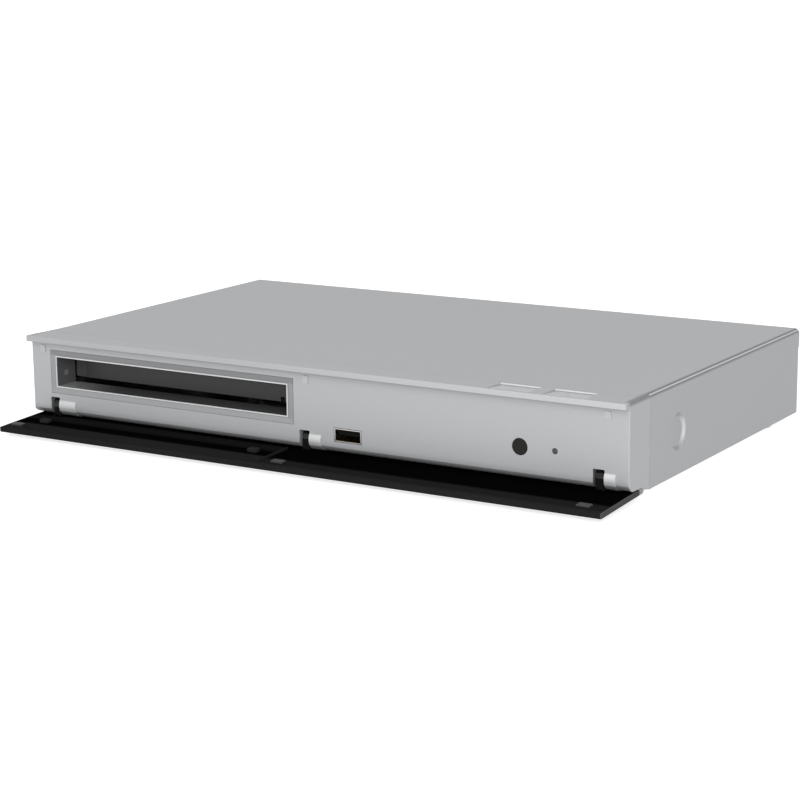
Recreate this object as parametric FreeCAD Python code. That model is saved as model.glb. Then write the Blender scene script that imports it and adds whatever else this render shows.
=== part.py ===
# Slim disc player with a fold-down front flap and a disc tray, in millimetres.
# Case frame: x across from the middle, y back from the front edge of the lid, z up from the surface
# that the feet rest on. Everything is moved along y at the end, so that the origin is the middle of
# the footprint with the flap folded down.
import FreeCAD, Part
import math
import os

from FreeCAD import Vector as Vec

# Overall sizes
case_width = 320.0
case_depth = 192.5
case_height = 45.2
foot_height = 4.0
foot_radius = 7.0
foot_inset_x = 12.0
foot_front_y = 27.0
foot_rear_inset = 22.0

# Walls, sheets and clearances
sheet = 0.8
sheet_gap = 0.15
fold_radius = 2.5
lip_height = 2.9
panel_wall = 2.2
return_wall = 2.0
panel_corner = 0.5
edge_round = 0.35
trim_gap = 0.15
seat_gap = 0.3
running_gap = 0.5
shaft_gap = 0.05
screw_gap = 0.2
over = 1.0
join_overlap = 0.5
near = 0.01
drive_width_share = 0.3
drive_depth_share = 0.5

# Front moulding
panel_recess = 3.8
strip_depth = 14.5
return_depth = 23.4
shelf_back_y = 15.5
shelf_slope_y = 19.0
shelf_slope_drop = 1.6
hook_width = 12.0
hook_inside = 5.0
hook_outside = 7.0
hook_height = 1.7
panel_screw_radius = 1.2
panel_screw_head = (2.6, 1.3)
panel_screw_behind = 3.8
panel_hook_from_left = 24.0
panel_hook_shares = (-0.4, 0.3)
panel_hook_from_right = 30.0
fold_end_radius = 0.1

# Tray opening and its surround
opening_from_left = 15.1
opening_below_top = 10.0
opening_width = 134.4
opening_height = 14.3
rim_wall = 0.8
rim_round = 0.2
strip_side = 2.95
strip_top = 2.6
strip_bottom = 2.8
bevel_depth = 0.3
trim_plate = 2.2
trim_flange = 1.2
trim_flange_reach = 1.6
trim_flange_reach_low = 1.0
tunnel_end_y = 17.3

# Front flap and its hinge
hinge_y = 8.16
hinge_above_base = 11.34
flap_thickness = 2.5
flap_lip_gap = 0.4
flap_bottom_clear = 5.7
flap_open_angle = 92.6
slot_width = 5.4
slot_top_above_axis = 3.96
slot_back_y = 12.6
slot_from_left = 10.7
slot_from_opening = 6.7
slot_from_right = 16.7
arm_width = 4.2
arm_side_gap = 0.3
arm_radius = 3.4
gusset_height = 0.9
gusset_length = 3.0
knuckle_radius = 5.2
knuckle_widths = (10.0, 6.4, 5.2)
panel_arc_radius = 4.8
panel_arc_middle = 235.0
boss_width = 4.0
boss_radius = 4.2
hinge_pin_radius = 1.0
hinge_pin_cover = 1.0
gusset_width = 0.8
pad_height = 0.6
pad_end_radius = 10.0
pad_above_axis = (4.1, 27.5)
pad_left_of_opening = 7.05
pad_right_inset = 0.5
trough_above_axis = (11.0, 20.0)
arm_clear = 1.5
arm_clear_above_axis = 8.0
rib_width = 0.9
rib_height = 0.9
rib_top_above_axis = 23.5
post_above_axis = 18.0
post_height = 3.0
post_width = 4.6
post_depth = 3.0
post_round = 0.6
post_left_inset = 0.7
post_right_inset = 7.2
bumper_width = 6.0
bumper_depth = 3.5
bumper_height = 0.8
bumper_below_lip = 7.2
bumper_from_left = 3.0
bumper_from_opening = 5.0
bumper_from_right = 14.0
mark_width = 3.0
mark_height = 0.4
mark_below_lip = 3.5
mark_from_left = 5.5
mark_from_opening = 9.0
mark_from_right = 11.5

# Top buttons
button_width = 19.4
button_depth = 11.2
button_front_y = 1.4
button_side_gap = 0.25
button_rear_gap = 0.3
button_cap = 1.4
button_dip = 0.9
button_pocket = 2.3
button_travel = 0.6
button_stem_width = 5.0
button_stem_depth = 3.0
button_stem_y = 10.0
button_hook = 0.8
button_hook_side = 1.2
button_hook_front = 0.9
button_corner = 0.8
power_button_from_right = 55.2
open_button_from_right = 28.95
switch_size = (6.0, 6.0, 4.0)
switch_plunger_radius = 1.5
switch_plunger_height = 1.2
switch_top_below_lid = 8.0

# Front board and what shows in the panel's face
board_thickness = 1.4
front_board_y = 14.0
front_board_from_opening = 16.5
front_board_from_right = 9.0
front_board_low = 11.0
front_board_high = 36.0
front_screw_radius = 1.1
front_screw_length = 6.0
front_screw_head = (2.4, 1.4)
front_post_radius = 2.6
front_post_from_usb = 12.0
front_post_from_power = 18.0
front_post_from_right = 20.0
front_post_below_top = 5.0
front_post_above_bottom = 9.0
usb_from_opening = 25.5
usb_width = 14.1
usb_height = 6.0
usb_above_base = 12.1
usb_length = 14.0
usb_wall = 0.4
usb_panel_gap = 0.3
usb_insert_depth = 3.0
usb_recess = 1.6
usb_tongue_above_shell = (2.9, 4.7)
usb_tongue_inset = 1.0
window_from_right = 51.2
window_radius = 3.7
light_from_right = 34.5
light_radius = 1.25
window_gap = 0.1
window_flange = 1.0
window_flange_thickness = 0.8
display_above_base = 20.6
receiver_half = 3.0
receiver_height = 8.0
receiver_depth = 4.0
receiver_dome = 2.2
led_radius = 1.5
led_depth = 4.0

# Round pressed dish in each side of the cover
dish_y = 51.5
dish_below_top = 22.0
dish_radius = 8.75
dish_depth = 1.0
dish_slope = 1.1
dish_wall = 0.8

# Rear edge of the cover and its screws
rear_lip_height = 9.0
rear_screw_below_top = 5.0
rear_screw_inset = 20.0
rear_screw_radius = 1.5
rear_screw_head = (2.9, 1.6)
rear_screw_length = 6.0

# Derived levels and edges of the case
half_width = case_width / 2
base_z = foot_height
floor_z = foot_height + sheet
lid_under_z = case_height - sheet
lip_under_z = case_height - lip_height
hinge_z = hinge_above_base
panel_face_y = panel_recess
panel_inner_y = panel_recess + panel_wall
shelf_z = hinge_z - panel_arc_radius
rear_screw_z = case_height - rear_screw_below_top
rear_screw_x = [-half_width + rear_screw_inset, 0, half_width - rear_screw_inset]

# Tray opening edges
opening_x0 = -half_width + opening_from_left
opening_x1 = opening_x0 + opening_width
opening_z1 = case_height - opening_below_top
opening_z0 = opening_z1 - opening_height
disc_x = (opening_x0 + opening_x1) / 2
usb_x0 = opening_x1 + usb_from_opening
usb_x1 = usb_x0 + usb_width
window_x = half_width - window_from_right
light_x = half_width - light_from_right


def box(x0, x1, y0, y1, z0, z1):
    """Block between two corners."""
    return Part.makeBox(x1 - x0, y1 - y0, z1 - z0, Vec(x0, y0, z0))


def rod(start, direction, radius, length):
    """Round bar from a point along a direction."""
    return Part.makeCylinder(radius, length, Vec(*start), Vec(*direction))


def cone(start, direction, radius_0, radius_1, length):
    """Tapered round bar from a point along a direction."""
    return Part.makeCone(radius_0, radius_1, length, Vec(*start), Vec(*direction))


def along_x(points, x0, x1):
    """Prism along x from an outline of (y, z) points."""
    wire = Part.makePolygon([Vec(x0, y, z) for y, z in points + points[:1]])
    return Part.Face(wire).extrude(Vec(x1 - x0, 0, 0))


def along_y(points, y0, y1):
    """Prism along y from an outline of (x, z) points."""
    wire = Part.makePolygon([Vec(x, y0, z) for x, z in points + points[:1]])
    return Part.Face(wire).extrude(Vec(0, y1 - y0, 0))


def along_z(points, z0, z1):
    """Prism along z from an outline of (x, y) points."""
    wire = Part.makePolygon([Vec(x, y, z0) for x, y in points + points[:1]])
    return Part.Face(wire).extrude(Vec(0, 0, z1 - z0))


def slot_z(x0, x1, y0, y1, z0, z1, radius):
    """Block with its four upright edges rounded."""
    block = box(x0, x1, y0, y1, z0, z1)
    upright = [e for e in block.Edges if abs(e.tangentAt(e.FirstParameter).z) > 0.9]
    return block.makeFillet(radius, upright)


def join(shapes):
    """One solid from touching or overlapping shapes."""
    first, *rest = shapes
    return first.fuse(rest).removeSplitter()


def group(shapes):
    """Separate solids kept together in one node."""
    return Part.makeCompound(shapes)


def turned(shape, centre, axis, degrees):
    """Copy of a shape turned about an axis through a point."""
    copy = shape.copy()
    copy.rotate(Vec(*centre), Vec(*axis), degrees)
    return copy


def screw(head, direction, head_radius, head_height, shank_radius, shank_length):
    """Pan head screw: the head stands at its seat, the shank runs along the direction."""
    way = Vec(*direction)
    back = Vec(*head) - way * head_height
    top = Part.makeCylinder(head_radius, head_height, back, way)
    shank = Part.makeCylinder(shank_radius, shank_length, Vec(*head), way)
    drive = Part.makeBox(head_radius, head_radius * drive_width_share, head_height)
    bars = []
    for spin in (0, 90):
        bar = drive.copy()
        bar.translate(Vec(-head_radius / 2, -head_radius * drive_width_share / 2,
                          -head_height * drive_depth_share))
        bar.rotate(Vec(0, 0, 0), Vec(0, 0, 1), spin)
        bar.Placement = FreeCAD.Placement(back, FreeCAD.Rotation(Vec(0, 0, 1), way)) * bar.Placement
        bars.append(bar)
    return top.fuse(shank).removeSplitter().cut(bars)


def edge_tool_x(y, z, way_y, way_z, radius):
    """Cutter that rounds an edge along x; the ways point from the edge into the material."""
    y0, y1 = sorted((y - way_y * over, y + way_y * radius))
    z0, z1 = sorted((z - way_z * over, z + way_z * radius))
    x0 = -half_width - over
    block = box(x0, -x0, y0, y1, z0, z1)
    return block.cut(rod((x0, y + way_y * radius, z + way_z * radius), (1, 0, 0), radius, -2 * x0))


def edge_tool_z(x, y, way_x, way_y, z0, z1, radius):
    """Cutter that rounds an upright edge; the ways point from the edge into the material."""
    x0, x1 = sorted((x - way_x * over, x + way_x * radius))
    y0, y1 = sorted((y - way_y * over, y + way_y * radius))
    block = box(x0, x1, y0, y1, z0, z1)
    middle = (x + way_x * radius, y + way_y * radius, z0 - over)
    return block.cut(rod(middle, (0, 0, 1), radius, z1 - z0 + 2 * over))


def rounded(shape, radius, wanted):
    """Shape with the wanted edges rounded."""
    return shape.makeFillet(radius, [e for e in shape.Edges if wanted(e.CenterOfMass)])


# Hinge slots, arms and knuckles, from left to right
slot_left_edges = [
    -half_width + slot_from_left,
    opening_x1 + slot_from_opening,
    half_width - slot_from_right,
]
arm_spans = [
    (x + slot_width - arm_side_gap - arm_width, x + slot_width - arm_side_gap) for x in slot_left_edges
]
slot_top_z = hinge_z + slot_top_above_axis

# Centres of the two top buttons
power_x = half_width - power_button_from_right
open_x = half_width - open_button_from_right
button_rear_y = button_front_y + button_depth
pocket_z = case_height - button_pocket
switch_top_z = case_height - switch_top_below_lid
stem_half = button_stem_width / 2
stem_y0 = button_stem_y - button_stem_depth / 2
stem_y1 = button_stem_y + button_stem_depth / 2

# Screw posts for the front board and screw hooks on the panel's rear edge
front_board_x0 = opening_x1 + front_board_from_opening
front_board_x1 = half_width - front_board_from_right
front_board_posts = [
    (usb_x1 + front_post_from_usb, front_board_high - front_post_below_top),
    (power_x - front_post_from_power, front_board_low + front_post_above_bottom),
    (half_width - front_post_from_right, front_board_high - front_post_below_top),
]
panel_hook_x = [
    -half_width + panel_hook_from_left, half_width * panel_hook_shares[0], half_width * panel_hook_shares[1],
    half_width - panel_hook_from_right,
]
panel_screw_y = return_depth + panel_screw_behind


def hinge_pin_length(width):
    """A pin reaches through its boss and slot into the knuckle, but not to the knuckle's end."""
    return boss_width + slot_width + width - hinge_pin_cover


def button_opening(x):
    """Pocket for a button's cap and the hole for its stem."""
    half = button_width / 2 + button_side_gap
    pocket = box(x - half, x + half, button_front_y - button_side_gap,
                 button_rear_y + button_rear_gap, pocket_z, case_height + over)
    hole = box(x - stem_half - running_gap, x + stem_half + running_gap,
               stem_y0 - running_gap, stem_y1 + running_gap, lip_under_z - over, pocket_z + over)
    return pocket.fuse(hole)


def front_panel():
    """Moulding with the top strip, both side returns and the hinge knuckles."""
    arc_side = math.sqrt(panel_arc_radius ** 2 - (hinge_y - panel_face_y) ** 2)
    half_turn = math.radians(panel_arc_middle)
    arc_mid = Vec(-half_width, hinge_y + panel_arc_radius * math.cos(half_turn),
                  hinge_z + panel_arc_radius * math.sin(half_turn))
    corners = [
        (hinge_y, shelf_z), (shelf_back_y, shelf_z),
        (shelf_slope_y, shelf_z - shelf_slope_drop), (return_depth, base_z), (return_depth, case_height),
        (0, case_height), (0, lip_under_z), (panel_face_y, lip_under_z),
        (panel_face_y, hinge_z - arc_side),
    ]
    points = [Vec(-half_width, y, z) for y, z in corners]
    edges = [Part.LineSegment(a, b).toShape() for a, b in zip(points, points[1:])]
    edges.append(Part.Arc(points[-1], arc_mid, points[0]).toShape())
    outer = Part.Face(Part.Wire(edges)).extrude(Vec(case_width, 0, 0))
    tops = [
        e for e in outer.Edges
        if abs(abs(e.CenterOfMass.x) - half_width) < near and abs(e.CenterOfMass.z - case_height) < near
    ]
    for edge in tops:
        rising = edge.valueAt(edge.FirstParameter).y < edge.valueAt(edge.LastParameter).y
        radii = (fold_end_radius, fold_radius) if rising else (fold_radius, fold_end_radius)
        same = [e for e in outer.Edges if e.CenterOfMass.distanceToPoint(edge.CenterOfMass) < near]
        outer = outer.makeFillet(radii[0], radii[1], same)
    inner_x = half_width - return_wall
    floor = shelf_z + panel_wall
    cavity = along_x([
        (panel_inner_y, floor), (shelf_back_y + over, floor),
        (shelf_slope_y + over, floor - shelf_slope_drop), (return_depth + over, base_z + panel_wall),
        (return_depth + over, lip_under_z), (panel_inner_y, lip_under_z),
    ], -inner_x, inner_x)
    shell = outer.cut(cavity)
    side_strip = half_width - fold_radius
    cover_seat = box(-side_strip, side_strip, strip_depth, return_depth + over, lip_under_z - over,
                     case_height + over)
    edges = [
        edge_tool_x(0, case_height, 1, -1, edge_round), edge_tool_x(0, lip_under_z, 1, 1, edge_round),
        edge_tool_z(half_width, panel_face_y, -1, 1, 0, lip_under_z, panel_corner),
        edge_tool_z(-half_width, panel_face_y, 1, 1, 0, lip_under_z, panel_corner),
    ]
    shell = shell.cut([cover_seat] + edges)
    bosses = []
    for x, width in zip(slot_left_edges, knuckle_widths):
        right = x + slot_width
        bosses.append(rod((right, hinge_y, hinge_z), (1, 0, 0), knuckle_radius, width))
        bosses.append(rod((x - boss_width, hinge_y, hinge_z), (1, 0, 0), boss_radius, boss_width))
    shell = shell.fuse(bosses)
    for x in panel_hook_x:
        half = hook_width / 2
        shell = shell.fuse(box(x - half, x + half, return_depth - hook_inside, return_depth + hook_outside,
                               floor_z, floor_z + hook_height))
    for x, z in front_board_posts:
        length = front_board_y - panel_inner_y + panel_wall / 2
        shell = shell.fuse(rod((x, front_board_y, z), (0, -1, 0), front_post_radius, length))
    cuts = [button_opening(power_x), button_opening(open_x)]
    for x in panel_hook_x:
        cuts.append(rod((x, panel_screw_y, floor_z - over), (0, 0, 1), panel_screw_radius,
                        hook_height + 2 * over))
    for x, z in front_board_posts:
        cuts.append(rod((x, front_board_y + over, z), (0, -1, 0), front_screw_radius, front_screw_length))
    for x, width in zip(slot_left_edges, knuckle_widths):
        cuts.append(box(x, x + slot_width, 0, slot_back_y, 0, slot_top_z))
        cuts.append(rod((x - boss_width - over, hinge_y, hinge_z), (1, 0, 0), hinge_pin_radius,
                        over + hinge_pin_length(width)))
    cuts.append(box(opening_x0 - rim_wall - strip_side, opening_x1 + rim_wall + strip_side,
                    0, panel_inner_y + over, opening_z0 - rim_wall - strip_bottom,
                    opening_z1 + rim_wall + strip_top))
    cuts.append(box(usb_x0 - usb_panel_gap, usb_x1 + usb_panel_gap, 0, panel_inner_y + over,
                    usb_above_base - usb_panel_gap, usb_above_base + usb_height + usb_panel_gap))
    for x, radius in ((window_x, window_radius), (light_x, light_radius)):
        cuts.append(rod((x, 0, display_above_base), (0, 1, 0), radius + window_gap, panel_inner_y + over))
    return shell.cut(cuts).removeSplitter()


def tray_surround():
    """Trim round the tray opening: bevelled strips, raised rim and the tunnel behind."""
    gap = trim_gap
    x0 = opening_x0 - rim_wall - strip_side + gap
    x1 = opening_x1 + rim_wall + strip_side - gap
    z0 = opening_z0 - rim_wall - strip_bottom + gap
    z1 = opening_z1 + rim_wall + strip_top - gap
    plate_back = panel_face_y + trim_plate
    plate = box(x0, x1, panel_face_y, plate_back, z0, z1)
    reach = trim_flange_reach
    flange = box(x0 - reach, x1 + reach, plate_back, plate_back + trim_flange, z0 - trim_flange_reach_low,
                 z1 + reach)
    rim = (opening_x0 - rim_wall, opening_x1 + rim_wall, opening_z0 - rim_wall, opening_z1 + rim_wall)
    tunnel = box(rim[0], rim[1], panel_face_y, tunnel_end_y, rim[2], rim[3])
    tunnel = rounded(tunnel, rim_round, lambda at: abs(at.y - panel_face_y) < near)
    front = Part.makePolygon([Vec(x, panel_face_y, z) for x, z in
                              [(x0, z0), (x1, z0), (x1, z1), (x0, z1), (x0, z0)]])
    deep = panel_face_y + bevel_depth
    back = Part.makePolygon([Vec(x, deep, z) for x, z in
                             [(rim[0], rim[2]), (rim[1], rim[2]), (rim[1], rim[3]), (rim[0], rim[3]),
                              (rim[0], rim[2])]])
    bevel = Part.makeLoft([front, back], True, True)
    body = plate.fuse(flange).cut(bevel).fuse(tunnel)
    mouth = box(opening_x0, opening_x1, 0, tunnel_end_y + over, opening_z0, opening_z1)
    return body.cut(mouth).removeSplitter()


def closed_to_open(shape):
    """The flap is drawn shut and then folded down about its hinge."""
    return turned(shape, (0, hinge_y, hinge_z), (1, 0, 0), flap_open_angle)


flap_top_z = lip_under_z - flap_lip_gap
post_z = hinge_z + post_above_axis
bumper_z = lip_under_z - bumper_below_lip
flap_bumper_x = [-half_width + bumper_from_left, opening_x1 + bumper_from_opening, half_width - bumper_from_right]
panel_mark_x = [-half_width + mark_from_left, opening_x1 + mark_from_opening, half_width - mark_from_right]


def front_flap():
    """Flap with its arms, raised pad, ribs and push posts, folded down."""
    inner = flap_thickness
    sunk = inner - edge_round
    plate = box(-half_width, half_width, 0, inner, flap_bottom_clear, flap_top_z)
    parts = [plate.makeFillet(edge_round, plate.Edges)]
    foot = hinge_z + arm_radius
    for x0, x1 in arm_spans:
        parts.append(box(x0, x1, sunk, hinge_y, hinge_z - arm_radius, foot))
        parts.append(rod((x0, hinge_y, hinge_z), (1, 0, 0), arm_radius, x1 - x0))
        for x in (x0, x1 - gusset_width):
            parts.append(along_x([
                (sunk, foot - gusset_height), (inner + gusset_height, foot - gusset_height),
                (inner + gusset_height, foot), (inner, foot + gusset_length), (sunk, foot + gusset_length),
            ], x, x + gusset_width))
    pad_x0 = opening_x0 - pad_left_of_opening
    pad_x1 = opening_x1 - pad_right_inset
    pad_z0 = hinge_z + pad_above_axis[0]
    pad = box(pad_x0, pad_x1, sunk, inner + pad_height, pad_z0, hinge_z + pad_above_axis[1])
    ends = [
        e for e in pad.Edges
        if abs(e.tangentAt(e.FirstParameter).y) > 0.9 and abs(e.CenterOfMass.x - pad_x0) < near
    ]
    pad = pad.makeFillet(pad_end_radius, ends)
    trough = box(pad_x0 - over, pad_x1 + over, inner, inner + over, hinge_z + trough_above_axis[0],
                 hinge_z + trough_above_axis[1])
    room = box(arm_spans[0][0] - arm_clear, arm_spans[0][1] + arm_clear, inner, inner + over, 0,
               hinge_z + arm_clear_above_axis)
    parts.append(pad.cut([trough, room]))
    parts.append(box(opening_x1 - rib_width, opening_x1, sunk, inner + rib_height, pad_z0,
                     hinge_z + rib_top_above_axis))
    post_x0 = opening_x0 + post_left_inset
    post_x1 = opening_x1 - post_right_inset - post_width
    for x in (post_x0, post_x1):
        post = box(x, x + post_width, sunk, inner + post_height, post_z - post_depth / 2,
                   post_z + post_depth / 2)
        parts.append(rounded(post, post_round, lambda at: abs(at.y - inner - post_height) < near))
    flap = join(parts)
    bores = [
        rod((x0 - over, hinge_y, hinge_z), (1, 0, 0), hinge_pin_radius + shaft_gap, x1 - x0 + 2 * over)
        for x0, x1 in arm_spans
    ]
    return closed_to_open(flap.cut(bores))


def flap_hinge_pins():
    """Three steel pins, pressed into the bosses beside each slot."""
    return group([
        rod((x - boss_width, hinge_y, hinge_z), (1, 0, 0), hinge_pin_radius, hinge_pin_length(width))
        for x, width in zip(slot_left_edges, knuckle_widths)
    ])


def flap_bumpers():
    """Soft stops on the flap's inner face."""
    stops = []
    half = bumper_depth / 2
    for x in flap_bumper_x:
        stop = box(x, x + bumper_width, flap_thickness, flap_thickness + bumper_height,
                   bumper_z - half, bumper_z + half)
        stop = rounded(stop, edge_round, lambda at: abs(at.y - flap_thickness - bumper_height) < near)
        stops.append(closed_to_open(stop))
    return group(stops)


def panel_bumpers():
    """Small raised marks on the panel's face, above the flap's stops."""
    stops = []
    z = lip_under_z - mark_below_lip
    half = bumper_depth / 2
    for x in panel_mark_x:
        stops.append(box(x, x + mark_width, panel_face_y - mark_height, panel_face_y, z - half, z + half))
    return group(stops)


def top_cover():
    """Sheet steel cover: top, two folded sides and a rear lip."""
    side_x = half_width
    front_y = return_depth + sheet_gap
    outline = box(-side_x, side_x, front_y, case_depth, base_z, case_height)
    folds = [
        e for e in outline.Edges
        if abs(abs(e.CenterOfMass.x) - side_x) < near and abs(e.CenterOfMass.z - case_height) < near
    ]
    outline = outline.makeFillet(fold_radius, folds)
    inside = box(-side_x + sheet, side_x - sheet, front_y - over, case_depth - sheet, base_z - over, lid_under_z)
    inner_folds = [
        e for e in inside.Edges
        if abs(abs(e.CenterOfMass.x) - side_x + sheet) < near and abs(e.CenterOfMass.z - lid_under_z) < near
    ]
    inside = inside.makeFillet(fold_radius - sheet, inner_folds)
    tongue_x = half_width - fold_radius - sheet_gap
    tongue = box(-tongue_x, tongue_x, strip_depth + sheet_gap, front_y + over, lid_under_z, case_height)
    lip_z = case_height - rear_lip_height
    below_lip = box(-side_x + fold_radius, side_x - fold_radius, case_depth - sheet - over, case_depth + over,
                    base_z - over, lip_z)
    below_side = box(-side_x - over, side_x + over, case_depth - sheet, case_depth + over, base_z - over, lip_z)
    cover = outline.cut(inside).fuse(tongue).cut([below_lip, below_side])
    dish_z = case_height - dish_below_top
    for way in (-1, 1):
        face_x = way * side_x
        rear = cone((face_x - way * (dish_depth + sheet), dish_y, dish_z), (way, 0, 0),
                    dish_radius - dish_depth, dish_radius, sheet + dish_depth)
        hollow = cone((face_x - way * dish_depth, dish_y, dish_z), (way, 0, 0),
                      dish_radius - dish_wall - dish_slope, dish_radius - dish_wall, dish_depth)
        cover = cover.fuse(rear).cut(hollow)
    holes = [rod((x, case_depth + over, rear_screw_z), (0, -1, 0), rear_screw_radius + screw_gap, sheet + 2 * over)
             for x in rear_screw_x]
    return cover.cut(holes).removeSplitter()


# Chassis, rear panel and boards
rear_wall_y1 = case_depth - sheet - sheet_gap
rear_wall_y0 = rear_wall_y1 - sheet
rear_wall_top = lid_under_z - sheet_gap
rear_flange = 6.0
rear_top_flange = 8.0
rear_top_flange_inset = 10.0
chassis_x = half_width - sheet - sheet_gap
flange_height = 10.0
standoff_height = 6.0
standoff_radius = 2.8
hook_hole_radius = 1.6
stud_radius = 2.4
foot_round = 1.2
vent_count = 10
vent_pitch = 11.0
vent_width = 2.4
vent_flat = 0.1
vent_inset = 16.0
floor_vent_y = (26.0, 40.0)
rear_vent_z = (8.0, 24.0)
board_inset = 5.0
board_screw_inset = 26.0
board_gap = 6.0
board_hole_radius = 1.6
board_screw_radius = 1.4
board_screw_head = (2.6, 1.6)
board_screw_length = 5.5
board_rear_gap = 1.0
board_z0 = floor_z + standoff_height
board_z1 = board_z0 + board_thickness
board_y1 = rear_wall_y0 - board_rear_gap
power_width = 60.0
power_length = 92.0
power_from_right = 8.0
main_length = 118.0
main_from_opening = 12.0
power_x1 = half_width - power_from_right
power_x0 = power_x1 - power_width
main_x1 = power_x0 - board_gap
main_x0 = opening_x1 + main_from_opening
power_y0 = board_y1 - power_length
main_y0 = board_y1 - main_length
insulator_thickness = 0.3

# Sockets on the boards' rear edges: width, depth and height of each
socket_gap = 0.3
socket_end_y = case_depth - sheet_gap
hdmi_size = (15.0, 12.0, 6.2)
hdmi_wall = (0.6, 0.7)
hdmi_bevel = (1.6, 1.6)
hdmi_back_wall = 2.0
hdmi_tongue_side = 0.2
hdmi_tongue_start = 1.0
hdmi_tongue_set_back = 1.5
hdmi_tongue_half = 0.5
lan_size = (16.0, 18.0, 13.5)
lan_mouth = (11.8, 13.0, 7.8)
lan_mouth_low = 3.4
lan_notch = (6.2, 8.0)
lan_notch_low = 1.2
optical_size = (10.0, 12.0, 10.0)
optical_mouth = (7.2, 0.8, 7.2)
socket_room = (main_x1 - main_x0 - hdmi_size[0] - lan_size[0] - optical_size[0]) / 4
hdmi_x = main_x0 + socket_room
lan_x = hdmi_x + hdmi_size[0] + socket_room
optical_x = lan_x + lan_size[0] + socket_room
inlet_size = (20.0, 18.0, 14.0)
inlet_from_right = 34.0
inlet_x = power_x1 - inlet_from_right
inlet_cavity = (14.6, 11.0, 8.6)
inlet_pin_radius = 1.2
inlet_pin_length = 9.0
inlet_pin_round = 0.7
inlet_pin_pitch = 8.6


def board_corners(x0, x1, y0, y1):
    """Screw places near the corners of a board."""
    inset = board_inset
    return [(x, y) for x in (x0 + inset, x1 - inset) for y in (y0 + inset, y1 - board_screw_inset)]


main_corners = board_corners(main_x0, main_x1, main_y0, board_y1)
power_corners = board_corners(power_x0, power_x1, power_y0, board_y1)
foot_places = [
    (x, y)
    for x in (-half_width + foot_inset_x, half_width - foot_inset_x)
    for y in (foot_front_y, case_depth - foot_rear_inset)
]

# Place of the loader and its feet
loader_side = 3.8
loader_front_gap = 0.6
loader_length = 160.0
loader_lift = 2.0
loader_screw_radius = 1.3
loader_post_radius = 3.5
loader_foot_inset = (7.0, 16.0, 12.0)
loader_x0 = opening_x0 - loader_side
loader_x1 = opening_x1 + loader_side
loader_y0 = return_depth + loader_front_gap
loader_y1 = loader_y0 + loader_length
loader_feet = [
    (x, y)
    for x in (loader_x0 + loader_foot_inset[0], loader_x1 - loader_foot_inset[0])
    for y in (loader_y0 + loader_foot_inset[1], loader_y1 - loader_foot_inset[2])
]


def sockets():
    """Each rear socket's name, left edge, size and the level that it stands on."""
    return [
        ("hdmi_socket", hdmi_x, hdmi_size), ("lan_socket", lan_x, lan_size),
        ("optical_socket", optical_x, optical_size), ("mains_inlet", inlet_x, inlet_size),
    ]


def vent_x():
    """Left edges of the vent slots behind the loader."""
    return [loader_x0 + vent_inset + index * vent_pitch for index in range(vent_count)]


def bottom_chassis():
    """Sheet steel floor with side flanges and the posts for the boards and the loader."""
    front_y = return_depth + sheet_gap
    parts = [box(-chassis_x, chassis_x, front_y, rear_wall_y0, base_z, floor_z)]
    for way in (-1, 1):
        x0, x1 = sorted((way * chassis_x, way * (chassis_x - sheet)))
        parts.append(box(x0, x1, front_y, rear_wall_y0, base_z, base_z + flange_height))
    for x, y in main_corners + power_corners:
        parts.append(rod((x, y, floor_z), (0, 0, 1), standoff_radius, standoff_height))
    for x, y in loader_feet:
        parts.append(rod((x, y, floor_z), (0, 0, 1), loader_post_radius, loader_lift))
    chassis = join(parts)
    cuts = []
    for x, y in main_corners + power_corners:
        cuts.append(rod((x, y, floor_z), (0, 0, 1), board_screw_radius, standoff_height + over))
    for x, y in loader_feet:
        cuts.append(rod((x, y, floor_z), (0, 0, 1), loader_screw_radius, loader_lift + over))
    for x, y in foot_places:
        cuts.append(rod((x, y, base_z - over), (0, 0, 1), stud_radius + shaft_gap, sheet + 2 * over))
    for x in panel_hook_x:
        cuts.append(rod((x, panel_screw_y, base_z - over), (0, 0, 1), hook_hole_radius, sheet + 2 * over))
    for x in vent_x():
        cuts.append(slot_z(x, x + vent_width, rear_wall_y0 - floor_vent_y[1], rear_wall_y0 - floor_vent_y[0],
                           base_z - over, floor_z + over, vent_width / 2 - vent_flat))
    return chassis.cut(cuts)


def rear_panel():
    """Sheet steel rear wall with a foot on the floor, a top flange, vents and the socket holes."""
    corner = fold_radius
    top = rear_wall_top
    wall = along_y([
        (-chassis_x, base_z), (chassis_x, base_z), (chassis_x, top - corner), (chassis_x - corner, top),
        (-chassis_x + corner, top), (-chassis_x, top - corner),
    ], rear_wall_y0, rear_wall_y1)
    foot_x = chassis_x - sheet - running_gap
    foot = box(-foot_x, foot_x, rear_wall_y0 - rear_flange, rear_wall_y1, floor_z, floor_z + sheet)
    flange_x = chassis_x - rear_top_flange_inset
    flange = box(-flange_x, flange_x, rear_wall_y0 - rear_top_flange, rear_wall_y1, top - sheet, top)
    cuts = []
    for x in rear_screw_x:
        cuts.append(rod((x, rear_wall_y0 - over, rear_screw_z), (0, 1, 0), rear_screw_radius, sheet + 2 * over))
    for name, x, size in sockets():
        cuts.append(box(x - socket_gap, x + size[0] + socket_gap, rear_wall_y0 - over, rear_wall_y1 + over,
                        board_z1 - socket_gap, board_z1 + size[2] + socket_gap))
    for x in vent_x():
        cuts.append(box(x, x + vent_width, rear_wall_y0 - over, rear_wall_y1 + over, floor_z + rear_vent_z[0],
                        floor_z + rear_vent_z[1]))
    return join([wall, foot, flange]).cut(cuts)


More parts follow.
